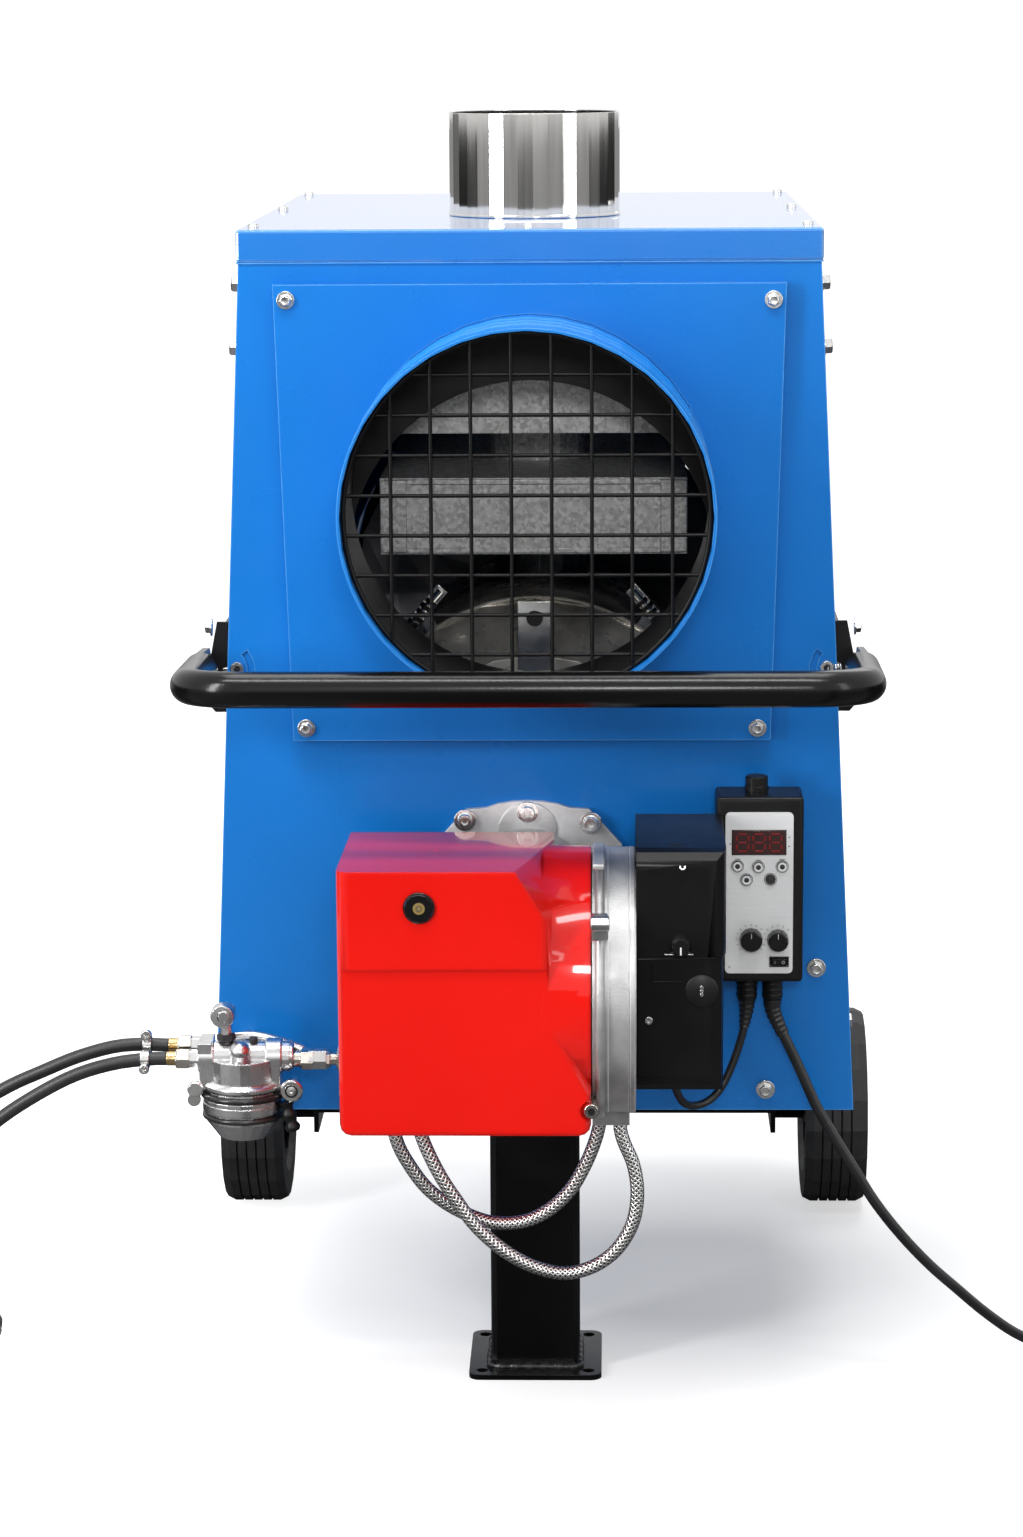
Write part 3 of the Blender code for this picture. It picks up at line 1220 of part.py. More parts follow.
def build_housing():
    """The cast fan housing with the body that carries the burner on its flange."""
    edge = SCROLL_WALL
    floor = SCROLL_LEFT + SCROLL_WALL
    profile = [
        (0.0, SCROLL_LEFT), (SCROLL_RADIUS - edge, SCROLL_LEFT), (SCROLL_RADIUS, SCROLL_LEFT + edge),
        (SCROLL_RADIUS, SCROLL_RIGHT), (SCROLL_RADIUS - edge, SCROLL_RIGHT), (SCROLL_RADIUS - edge, floor),
        (0.0, floor),
    ]
    housing = turned("burner_housing", profile, CAST, (0.0, SCROLL_Y, SCROLL_HEIGHT), TO_RIGHT)
    right = SCROLL_LEFT + SCROLL_WALL / 2
    join(housing, block_helper((BODY_LEFT, BODY_FRONT, BODY_LOW), (right, BODY_BACK, BODY_HIGH)))
    arm_low = (PUMP_RIGHT - OVERRUN, BODY_FRONT + FIT, ARM_LOW)
    join(housing, block_helper(arm_low, (right - FIT, ARM_BACK, BODY_LOW + OVERRUN)))
    join(housing, block_helper((PUMP_LEFT, PUMP_FRONT, PUMP_LOW), (PUMP_RIGHT, PUMP_BACK, PUMP_HIGH)))
    neck_front = COVER_BACK + FIT
    neck_back = -FLANGE_SHEET - 2 * FIT
    join(housing, rod_along_y(BURNER_X, neck_front, neck_back, BURNER_HEIGHT, NECK_RADIUS, ROUND_STEPS))
    low = [middle - size / 2 for middle, size in zip(PORT_AT, PORT_SIZE)]
    high = [middle + size / 2 for middle, size in zip(PORT_AT, PORT_SIZE)]
    port = block_helper(low, high)
    cavity = SCROLL_RADIUS - SCROLL_WALL
    middle = (floor + SCROLL_RIGHT + OVERRUN) / 2
    space = rod_mesh(cavity, SCROLL_RIGHT + OVERRUN - floor, ROUND_STEPS)
    room = helper(space, (middle, SCROLL_Y, SCROLL_HEIGHT), TO_RIGHT)
    cut(port, room)
    join(housing, port)


def build_cover():
    """The moulded cover: a raised front with a sloping brow and a facet, beside a drum round the fan."""
    width, tall = COVER_RIGHT - COVER_LEFT, COVER_HIGH - COVER_LOW
    step_x = COVER_LEFT + COVER_STEP_SHARE * width
    outline = [
        (COVER_LEFT, COVER_LOW),
        (COVER_RIGHT, COVER_LOW),
        (COVER_RIGHT, COVER_LOW + COVER_STEP_LOW_SHARE * tall),
        (step_x, COVER_LOW + COVER_STEP_HIGH_SHARE * tall),
        (step_x, COVER_HIGH),
        (COVER_LEFT, COVER_HIGH),
    ]
    long = COVER_BACK + OVERRUN - COVER_FRONT
    raised = plate_mesh(outline, [], long)
    cover = part("burner_cover", raised, RED, (0.0, COVER_FRONT + long / 2, 0.0), TO_FRONT)
    edge = cover.modifiers.new("edges", "BEVEL")
    edge.width = COVER_ROUND
    edge.segments = 3
    edge.limit_method = "ANGLE"
    cover.modifiers.new("faces", "TRIANGULATE")
    ledge_low = (COVER_LEFT - OVERRUN, COVER_FRONT - OVERRUN, COVER_LOW - OVERRUN)
    ledge_high = (COVER_RIGHT + OVERRUN, COVER_FRONT + COVER_LEDGE_DEPTH, COVER_LEDGE_HEIGHT)
    cut(cover, brow_cutter(), facet_cutter(), block_helper(ledge_low, ledge_high))
    cover.modifiers.new("faces", "TRIANGULATE")
    drum_left, drum_radius = step_x - COVER_DRUM_LAP, SCROLL_RADIUS + COVER_DRUM_OVER
    drum = rod_along_x(drum_left, COVER_RIGHT, SCROLL_Y, SCROLL_HEIGHT, drum_radius, ROUND_STEPS)
    join(cover, drum)
    far = 2 * OVERRUN
    behind_low = (COVER_LEFT - far, COVER_BACK, COVER_LOW - far)
    cut(cover, block_helper(behind_low, (COVER_RIGHT + far, COVER_BACK + 3 * far, COVER_HIGH + far)))
    below_low = (drum_left - far, COVER_FRONT - far, COVER_LOW - far)
    cut(cover, block_helper(below_low, (COVER_RIGHT + far, COVER_BACK + 2 * far, COVER_LOW)))
    cut_cover_inside(cover, step_x, drum_radius)


def brow_cutter():
    """Takes off everything above the top, which falls a little towards the back."""
    slope = (COVER_BACK_HIGH - COVER_BROW) / (COVER_BACK - COVER_FRONT)
    points = [
        (COVER_FRONT - OVERRUN, COVER_BROW - slope * OVERRUN),
        (COVER_BACK + 2 * OVERRUN, COVER_BACK_HIGH + 2 * slope * OVERRUN),
        (COVER_BACK + 2 * OVERRUN, COVER_HIGH + 2 * OVERRUN),
        (COVER_FRONT - OVERRUN, COVER_HIGH + 2 * OVERRUN),
    ]
    turned_points = [(-z, y) for y, z in points]
    width = COVER_RIGHT - COVER_LEFT + 4 * OVERRUN
    middle = (COVER_RIGHT + COVER_LEFT) / 2
    return helper(plate_mesh(turned_points, [], width), (middle, 0.0, 0.0), TO_RIGHT)


def facet_cutter():
    """Takes a slanted facet off the raised front's upper right corner."""
    width, tall = COVER_RIGHT - COVER_LEFT, COVER_HIGH - COVER_LOW
    brow_left = Vector((COVER_LEFT + FACET_LEFT_SHARE * width, COVER_FRONT, COVER_BROW))
    facet_right = COVER_LEFT + FACET_RIGHT_SHARE * width
    right_low = Vector((facet_right, COVER_FRONT, COVER_LOW + FACET_LOW_SHARE * tall))
    back_high = Vector((COVER_LEFT + COVER_STEP_SHARE * width, FACET_BACK_Y, FACET_BACK_HIGH))
    normal = (right_low - brow_left).cross(back_high - brow_left).normalized()
    if normal.x < 0:
        normal = -normal
    size = (brow_left - back_high).length * 2
    middle = (brow_left + right_low + back_high) / 3 + normal * size / 2
    cutter = helper(box_mesh((size, size, size)), middle)
    cutter.rotation_mode = "QUATERNION"
    cutter.rotation_quaternion = normal.to_track_quat("Z", "Y")
    return cutter


def cut_cover_inside(cover, step_x, drum_radius):
    """Hollows the cover and cuts its openings for the body, the pump's hoses, the inlet and the button."""
    wall = COVER_WALL
    far_back = COVER_BACK + 2 * OVERRUN
    main_low = (COVER_LEFT + wall, COVER_FRONT + wall + COVER_LEDGE_DEPTH, COVER_LOW + wall)
    room_right = step_x - COVER_ROOM_GAP
    main_high = (room_right, far_back, COVER_BACK_HIGH - 2 * wall)
    inner_radius = drum_radius - wall - 2 * FIT
    inner_right = COVER_RIGHT - wall
    inner_left = step_x - COVER_DRUM_LAP
    inner_drum = rod_along_x(inner_left, inner_right, SCROLL_Y, SCROLL_HEIGHT, inner_radius, ROUND_STEPS)
    cut(cover, block_helper(main_low, main_high), trimmed_below(inner_drum, COVER_LOW + wall))
    gap = FIT
    body_low = (room_right - OVERRUN, BODY_FRONT - gap, ARM_LOW - gap)
    cut(cover, block_helper(body_low, (COVER_RIGHT + OVERRUN, far_back, BODY_HIGH + gap)))
    first, second = INNER_ROUTE[0], OUTER_ROUTE[0]
    hose_low = (first[0] - 2 * BRAID_RADIUS, second[1] - 2 * BRAID_RADIUS, COVER_LOW - OVERRUN)
    cut(cover, block_helper(hose_low, (second[0] + 3 * BRAID_RADIUS, far_back, COVER_LOW + OVERRUN)))
    inlet = rod_along_x(
        COVER_LEFT - OVERRUN, COVER_LEFT + OVERRUN, FILTER_Y, OUTLET_HEIGHT, OUTLET_RADIUS + FIT
    )
    cut(cover, inlet)
    before, behind = COVER_FRONT - OVERRUN, COVER_FRONT + OVERRUN
    cut(cover, rod_along_y(BUTTON_X, before, behind, BUTTON_HEIGHT, BUTTON_RADIUS + FIT))
    cut(cover, rod_along_y(COVER_RIGHT, before, behind, NOTCH_HEIGHT, NOTCH_RADIUS))

    profile = [
        (0.0, 0.0), (BUTTON_RADIUS - FIT, 0.0), (BUTTON_RADIUS, FIT), (BUTTON_RADIUS, BUTTON_LENGTH),
        (0.0, BUTTON_LENGTH),
    ]
    at = (BUTTON_X, COVER_FRONT - BUTTON_PROUD, BUTTON_HEIGHT)
    turned("reset_button", profile, BLACK_GLOSS, at, TO_BACK, SMALL_STEPS)


def trimmed_below(shape, height):
    """Cuts a helper off below a height."""
    far = COVER_FAR
    low = (COVER_LEFT - far, COVER_FRONT - far, height - far)
    return cut(shape, block_helper(low, (COVER_RIGHT + far, far, height)))


def rounded_case(name, low, high, look):
    case = block(name, low, high, look)
    edge = case.modifiers.new("edges", "BEVEL")
    edge.width = CASE_ROUND
    edge.segments = 3
    edge.limit_method = "WEIGHT"
    weights = case.data.attributes.new("bevel_weight_edge", "FLOAT", "EDGE")
    middle = case.data.vertices
    for line in case.data.edges:
        first, second = (middle[index].co for index in line.vertices)
        runs_x = abs(first.x - second.x) > abs(first.y - second.y) + abs(first.z - second.z)
        runs_z = abs(first.z - second.z) > abs(first.y - second.y) + abs(first.x - second.x)
        upper = name == "intake_cover" and first.z > 0 and first.y < 0
        lower = name == "burner_motor" and first.z < 0 and first.y < 0
        at_right = first.x > 0 and runs_z and first.y < 0
        weights.data[line.index].value = 1.0 if (runs_x and (upper or lower)) or at_right else 0.0
    return case


def build_intake():
    left = SCROLL_RIGHT + FIT
    low, high = (left, INTAKE_FRONT, SPLIT_HEIGHT + FIT), (INTAKE_RIGHT, INTAKE_BACK, INTAKE_HIGH)
    intake = rounded_case("intake_cover", low, high, BLACK_MATTE)
    room_low = (left - OVERRUN, INTAKE_FRONT + CASE_WALL, SPLIT_HEIGHT + FIT + CASE_WALL)
    room_high = (INTAKE_RIGHT - CASE_WALL, INTAKE_BACK - CASE_WALL, INTAKE_HIGH - CASE_WALL)
    room = block_helper(room_low, room_high)
    edge = room.modifiers.new("edges", "BEVEL")
    edge.width = CASE_ROUND - CASE_WALL
    edge.segments = 2
    cut(intake, room)

    low, high = (left, INTAKE_FRONT, MOTOR_COVER_LOW), (MOTOR_COVER_RIGHT, INTAKE_BACK, SPLIT_HEIGHT)
    motor = rounded_case("burner_motor", low, high, BLACK_MATTE)
    shaft_end = left - BURNER_SHAFT_LENGTH
    join(motor, rod_along_x(shaft_end, left + OVERRUN, SCROLL_Y, SCROLL_HEIGHT, BURNER_SHAFT))

    knob = [
        (0.0, 0.0), (DAMPER_RADIUS, 0.0), (DAMPER_RADIUS, DAMPER_LENGTH / 2),
        (DAMPER_RADIUS * DAMPER_TIP_SHARE, DAMPER_LENGTH), (0.0, DAMPER_LENGTH),
    ]
    at = (DAMPER_X, INTAKE_FRONT - FIT, DAMPER_HEIGHT)
    turned("damper_knob", knob, BLACK_MATTE, at, TO_FRONT, SMALL_STEPS)


def build_burner_fan():
    """The burner's drum fan: a back plate with a ring of blades, on the motor's shaft."""
    left, right, sheet = WHEEL_FAN_LEFT, WHEEL_FAN_RIGHT, WHEEL_FAN_SHEET
    bore = BURNER_SHAFT + FIT
    profile = [
        (bore, left),
        (WHEEL_FAN_RADIUS, left),
        (WHEEL_FAN_RADIUS, left + sheet),
        (WHEEL_FAN_HUB, left + sheet),
        (WHEEL_FAN_HUB, left + WHEEL_FAN_HUB_LENGTH),
        (bore, left + WHEEL_FAN_HUB_LENGTH),
    ]
    at = (0.0, SCROLL_Y, SCROLL_HEIGHT)
    fan = turned("burner_fan", profile, GALVANISED, at, TO_RIGHT, MIDDLE_STEPS)
    ring = [
        (WHEEL_FAN_INNER, right - sheet), (WHEEL_FAN_RADIUS, right - sheet), (WHEEL_FAN_RADIUS, right),
        (WHEEL_FAN_INNER, right),
    ]
    depth = (WHEEL_FAN_RADIUS - WHEEL_FAN_INNER) * WHEEL_FAN_BLADE_SHARE
    blade = box_mesh((right - left - sheet, depth, sheet))
    middle_radius = (WHEEL_FAN_RADIUS + WHEEL_FAN_INNER) / 2
    for index in range(WHEEL_FAN_BLADES):
        angle = 2 * math.pi * (index + 0.5) / WHEEL_FAN_BLADES
        y = SCROLL_Y + middle_radius * math.cos(angle)
        height = SCROLL_HEIGHT + middle_radius * math.sin(angle)
        slat = helper(blade, ((left + right) / 2, y, height), (angle, 0.0, 0.0))
        join(fan, slat)
    join(fan, turned_helper(ring, at, TO_RIGHT, MIDDLE_STEPS))


def face_place(shares):
    """A place on the control panel's face, from shares of its width and height."""
    across, up = shares
    return FACE_LEFT + across * (FACE_RIGHT - FACE_LEFT), FACE_LOW + up * (FACE_HIGH - FACE_LOW)


def build_controls():
    front = -BOX_PROUD
    box = block("control_box", (BOX_LEFT, front, BOX_LOW), (BOX_RIGHT, -FIT, BOX_HIGH), BLACK_MATTE)
    edge = box.modifiers.new("edges", "BEVEL")
    edge.width = BOX_ROUND
    edge.segments = 2
    for x in GLAND_X_PLACES:
        join(box, rod_along_z(x, GLAND_Y, BOX_LOW - GLAND_LENGTH, BOX_LOW + OVERRUN, GLAND_RADIUS))
    join(box, rod_along_z(CAP_X, GLAND_Y, BOX_HIGH - OVERRUN, BOX_HIGH + CAP_LENGTH, CAP_RADIUS))

    outline = rounded_rectangle(FACE_LEFT, FACE_RIGHT, FACE_LOW, FACE_HIGH, FACE_CORNER)
    holes = []
    for shares in KEY_PLACE_SHARES:
        holes.append(circle(*face_place(shares), KEY_RADIUS + FIT, SMALL_STEPS))
    rocker_x, rocker_height = face_place(ROCKER_PLACE_SHARES)
    half_x = ROCKER_SIZE[0] / 2 + ROCKER_PLAY
    half_z = ROCKER_SIZE[2] / 2 + FIT
    holes.append([
        (rocker_x - half_x, rocker_height - half_z), (rocker_x + half_x, rocker_height - half_z),
        (rocker_x + half_x, rocker_height + half_z), (rocker_x - half_x, rocker_height + half_z),
    ])
    face = plate_mesh(outline, holes, FACE_SHEET)
    face_front = front - FIT - FACE_SHEET
    part("control_faceplate", face, SILVER_FACE, (0.0, face_front + FACE_SHEET / 2, 0.0), TO_FRONT)
    build_keys(box, face_front)
    build_dials(face_front)
    build_rocker(box, face_front, rocker_x, rocker_height, half_x, half_z)


def build_keys(box, face_front):
    for index, shares in enumerate(KEY_PLACE_SHARES, start=1):
        x, height = face_place(shares)
        start = face_front - KEY_PROUD
        pocket_end = start + KEY_LENGTH + KEY_TRAVEL_ROOM
        cut(box, rod_along_y(x, face_front - OVERRUN, pocket_end, height, KEY_RADIUS + FIT, SMALL_STEPS))
        look = BLACK_GLOSS if index == len(KEY_PLACE_SHARES) else SILVER_FACE
        profile = [(0.0, 0.0), (KEY_RADIUS - FIT, 0.0), (KEY_RADIUS, FIT)]
        profile += [(KEY_RADIUS, KEY_LENGTH), (0.0, KEY_LENGTH)]
        turned(f"push_button_{index}", profile, look, (x, start, height), TO_BACK, SMALL_STEPS)


def build_dials(face_front):
    for name, shares, radius in zip(("thermostat_knob", "mode_knob"), DIAL_PLACE_SHARES, DIAL_RADIUS_SIZES):
        x, height = face_place(shares)
        profile = [(across * radius, along * DIAL_LENGTH) for across, along in DIAL_PROFILE_SHARES]
        turned(name, profile, BLACK_MATTE, (x, face_front - FIT, height), TO_FRONT, SMALL_STEPS)


def build_rocker(box, face_front, x, height, half_x, half_z):
    thick = ROCKER_SIZE[1]
    pocket_low = (x - half_x, face_front - OVERRUN, height - half_z)
    pocket_high = (x + half_x, face_front + thick + FACE_SHEET, height + half_z)
    cut(box, block_helper(pocket_low, pocket_high))
    pivot_y = face_front + FACE_SHEET
    mesh = box_mesh(ROCKER_SIZE)
    for corner in mesh.vertices:
        corner.co.y -= thick / 2
    part("power_switch", mesh, BLACK_GLOSS, (x, pivot_y, height))


def build_filter():
    steps = FILTER_STEPS
    length = FILTER_BAR_RIGHT - FILTER_BAR_LEFT
    bar_at = ((FILTER_BAR_LEFT + FILTER_BAR_RIGHT) / 2, FILTER_Y, FILTER_HEIGHT)
    head = part("filter_head", rod_mesh(FILTER_BAR_RADIUS, length, steps), CAST, bar_at, TO_RIGHT)
    join(head, rod_along_z(FILTER_X, FILTER_Y, FILTER_HEAD_LOW, FILTER_HEIGHT, FILTER_HEAD_RADIUS, steps))
    join(head, rod_along_y(FILTER_X, FILTER_Y, -FIT, FILTER_HEIGHT, FILTER_ARM_RADIUS))
    pump_side = PUMP_LEFT - FIT
    join(head, rod_along_x(FILTER_BAR_RIGHT - OVERRUN, pump_side, FILTER_Y, OUTLET_HEIGHT, OUTLET_RADIUS))
    nut = rod_along_x(OUTLET_NUT_LEFT, OUTLET_NUT_RIGHT, FILTER_Y, OUTLET_HEIGHT, OUTLET_NUT, HEX_SIDES)
    join(head, nut)
    join(head, block_helper(
        (FILTER_BAR_LEFT, min(TAIL_YS) - TAIL_NUT, min(TAIL_HEIGHTS) - TAIL_NUT),
        (FILTER_BAR_LEFT + OVERRUN, max(TAIL_YS) + TAIL_NUT, max(TAIL_HEIGHTS) + TAIL_NUT),
    ))
    for y, height in zip(TAIL_YS, TAIL_HEIGHTS):
        join(head, rod_along_x(TAIL_END, FILTER_BAR_LEFT + OVERRUN / 2, y, height, TAIL_RADIUS))
        join(head, rod_along_x(TAIL_NUT_LEFT, FILTER_BAR_LEFT + FIT, y, height, TAIL_NUT, HEX_SIDES))

    top = FILTER_HEAD_LOW - FIT
    tall = top - BOWL_LOW
    profile = [(across * BOWL_RADIUS, up * tall) for across, up in BOWL_PROFILE_SHARES]
    turned("filter_bowl", profile, CAST, (FILTER_X, FILTER_Y, BOWL_LOW), UPRIGHT, steps)

    base = FILTER_HEIGHT + FILTER_BAR_RADIUS + FIT
    knob = [
        (0.0, 0.0),
        (VALVE_STEM, 0.0),
        (VALVE_STEM, VALVE_STEM_LENGTH),
        (VALVE_BALL, VALVE_STEM_LENGTH + VALVE_STEM / 2),
        (VALVE_BALL, VALVE_STEM_LENGTH + VALVE_BALL + VALVE_STEM),
        (0.0, VALVE_STEM_LENGTH + 2 * VALVE_BALL),
    ]
    valve = turned("filter_valve", knob, STAINLESS, (VALVE_X, VALVE_Y, base), UPRIGHT, SMALL_STEPS)
    lever_height = base + VALVE_STEM_LENGTH + VALVE_BALL
    join(valve, rod_along_y(VALVE_X, VALVE_Y - VALVE_LEVER, VALVE_Y, lever_height, VALVE_STEM))


def coil_points(centre, outer, radius, turns, start, sense):
    """Two layers of loops: in towards the middle, up in half a turn, and out again."""
    inward, outward = turns
    lift = 2 * radius + COIL_GAP
    spread = 2 * radius * LOOP_SPREAD_SHARE
    low = radius + FLOOR_GAP
    inner = outer - spread * inward
    total = inward + 0.5 + outward
    count = round(total * COIL_LOOP_POINTS)
    points = []
    for index in range(count + 1):
        turned_by = total * index / count
        climb = min(max(2 * (turned_by - inward), 0.0), 1.0)
        reach = max(outer - spread * turned_by, inner) + spread * max(turned_by - inward - 0.5, 0.0)
        angle = start + sense * 2 * math.pi * turned_by
        level = low + lift * climb**2 * (3 - 2 * climb)
        x, y = centre[0] + reach * math.cos(angle), centre[1] + reach * math.sin(angle)
        points.append(Vector((x, y, level)))
    return with_straight_ends(points, radius, start, sense, total)


def with_straight_ends(points, radius, start, sense, total):
    """Adds a run of one diameter before and after the loops."""
    last = start + sense * 2 * math.pi * total
    into = Vector((-math.sin(start), math.cos(start), 0.0)) * sense
    out = Vector((-math.sin(last), math.cos(last), 0.0)) * sense
    first = [points[0] - into * radius * 2, points[0] - into * radius]
    end = [points[-1] + out * radius, points[-1] + out * radius * 2]
    return first + points + end, out


def cord_piece(name, route, radius, look):
    """The free stretch of a cord or hose, square to its route at both ends."""
    points = smooth_route(route, radius * TUBE_RUNG_SHARE)
    leaving = Vector(route[1]) - Vector(route[0])
    arriving = Vector(route[-1]) - Vector(route[-2])
    points.insert(1, points[0] + leaving.normalized() * radius)
    points.insert(-1, points[-1] - arriving.normalized() * radius)
    part(name, tube_curve(points, radius), look)


def coil_piece(name, centre, outer, radius, turns, start, sense, look):
    points, out = coil_points(centre, outer, radius, turns, start, sense)
    part(name, tube_curve(points, radius, 1), look)
    return points[-1], out


def build_cords():
    cord_piece("mains_cord", MAINS_ROUTE, MAINS_RADIUS, BLACK_MATTE)
    end, out = coil_piece(
        "mains_coil", MAINS_COIL_AT, MAINS_COIL_RADIUS, MAINS_RADIUS, MAINS_COIL_TURNS, MAINS_COIL_FROM, 1,
        BLACK_MATTE,
    )
    build_plug(end + out * FIT, out)
    names = ("supply", "return")
    routes = (SUPPLY_ROUTE, RETURN_ROUTE)
    for name, route, y, sense in zip(names, routes, HOSE_COIL_YS, (-1, 1)):
        cord_piece(name + "_hose", route, HOSE_RADIUS, RUBBER)
        end, out = coil_piece(
            name + "_coil", (HOSE_COIL_X, y), HOSE_COIL_RADIUS, HOSE_RADIUS, HOSE_COIL_TURNS, math.pi, sense,
            RUBBER,
        )
        build_fitting(name + "_fitting", end + out * FIT, out)
    cord_piece("braided_hose_inner", INNER_ROUTE, BRAID_RADIUS, WIRE_STEEL)
    cord_piece("braided_hose_outer", OUTER_ROUTE, BRAID_RADIUS, WIRE_STEEL)
    cord_piece("burner_lead", LEAD_ROUTE, LEAD_RADIUS, BLACK_MATTE)


def facing(direction):
    """The turn that points a shape's own +Z along a level direction."""
    return (math.radians(90), 0.0, math.atan2(direction.x, -direction.y))


def build_plug(at, out):
    """A plain two-pin plug with a tapered sleeve."""
    body_start = PLUG_SLEEVE
    body_end = PLUG_SLEEVE + PLUG_LENGTH
    profile = [
        (0.0, 0.0), (PLUG_SLEEVE_RADIUS, 0.0), (PLUG_NECK, body_start),
        (PLUG_BODY, body_start + PLUG_NECK), (PLUG_BODY, body_end), (0.0, body_end),
    ]
    plug = turned("mains_plug", profile, BLACK_MATTE, at, facing(out), SMALL_STEPS)
    side = Vector((out.y, -out.x, 0.0))
    for sign in (-1, 1):
        middle = at + out * (body_end + PLUG_PIN_LENGTH / 2 - SEAT) + side * sign * PLUG_PIN_PITCH / 2
        join(plug, helper(rod_mesh(PLUG_PIN, PLUG_PIN_LENGTH + 2 * SEAT), middle, facing(out)))


def build_fitting(name, at, out):
    """A crimped ferrule with a hexagonal nut."""
    end = END_FERRULE_LENGTH + END_NUT_LENGTH
    profile = [(0.0, 0.0), (END_FERRULE, 0.0), (END_FERRULE, END_FERRULE_LENGTH), (0.0, END_FERRULE_LENGTH)]
    fitting = turned(name, profile, BRASS, at, facing(out), SMALL_STEPS)
    middle = at + out * (end - END_NUT_LENGTH / 2 - SEAT / 2)
    join(fitting, helper(rod_mesh(END_NUT, END_NUT_LENGTH + SEAT, HEX_SIDES), middle, facing(out)))


clear_scene()
PARTS = new_collection("oil_furnace")
HELPERS = new_collection("helpers")
ROOT = new_root("oil_furnace_root")
build_cabinet()
build_duct()
build_flue()
build_combustion()
build_fan()
build_leg()
build_axle()
build_wheels()
build_handle()
build_burner()
build_controls()
build_filter()
build_cords()
for piece in PARTS.objects:
    if piece.type == "MESH" and piece.data.polygons:
        smooth(piece)
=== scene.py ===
from math import cos, pi, radians, sin, sqrt

import bmesh
import bpy
from mathutils import Matrix, Vector
from mathutils.bvhtree import BVHTree


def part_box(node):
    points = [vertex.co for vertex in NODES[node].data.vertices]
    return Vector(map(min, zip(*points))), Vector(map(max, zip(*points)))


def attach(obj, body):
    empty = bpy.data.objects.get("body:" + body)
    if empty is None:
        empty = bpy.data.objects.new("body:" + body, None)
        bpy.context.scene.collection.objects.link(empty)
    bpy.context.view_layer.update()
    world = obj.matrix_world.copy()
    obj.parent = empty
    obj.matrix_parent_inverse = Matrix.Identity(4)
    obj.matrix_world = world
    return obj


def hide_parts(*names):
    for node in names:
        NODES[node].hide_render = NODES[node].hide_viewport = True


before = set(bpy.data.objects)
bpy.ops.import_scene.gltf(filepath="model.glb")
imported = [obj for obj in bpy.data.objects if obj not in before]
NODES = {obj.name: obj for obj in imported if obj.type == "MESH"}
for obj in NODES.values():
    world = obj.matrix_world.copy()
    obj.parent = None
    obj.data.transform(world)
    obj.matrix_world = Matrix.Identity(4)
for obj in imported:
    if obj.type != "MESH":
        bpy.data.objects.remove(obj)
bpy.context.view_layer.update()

# Places below are measured from the cabinet's front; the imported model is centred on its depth
CENTRE_Y = 0.22665
UP = (0.0, 0.0, 1.0)
FRONT = (0.0, -1.0, 0.0)
BACK = (0.0, 1.0, 0.0)
RIGHT = (1.0, 0.0, 0.0)
LEFT = (-1.0, 0.0, 0.0)
SIDES = (("left", -1), ("right", 1))


def at(x, y, z):
    return Vector((x, y - CENTRE_Y, z))


def make_object(name, data):
    made = bpy.data.objects.new(name, data)
    bpy.context.scene.collection.objects.link(made)
    return made


# ---------------------------------------------------------------- camera
# Fitted to the photograph: sizes in its pixels, the sensor in millimetres, the place in metres
IMAGE = (1023, 1537)
FOCAL = 3795.0
PITCH = radians(11.14)
ROLL = radians(-0.378)
YAW = radians(-1.555)
SENSOR = 36.0
CAMERA_PLACE = (0.0707, -3.27, 1.205)


def make_camera():
    data = bpy.data.cameras.new("camera")
    data.sensor_width = SENSOR
    data.sensor_fit = "AUTO"
    data.lens = FOCAL * SENSOR / max(IMAGE)
    camera = make_object("camera", data)
    ahead = Vector((sin(YAW) * cos(PITCH), cos(YAW) * cos(PITCH), -sin(PITCH)))
    side = Vector((cos(YAW), -sin(YAW), 0.0))
    top = side.cross(ahead)
    across = side * cos(ROLL) + top * sin(ROLL)
    upward = top * cos(ROLL) - side * sin(ROLL)
    turn = Matrix((across, upward, -ahead)).transposed().to_4x4()
    turn.translation = at(*CAMERA_PLACE)
    camera.matrix_world = turn
    bpy.context.scene.camera = camera


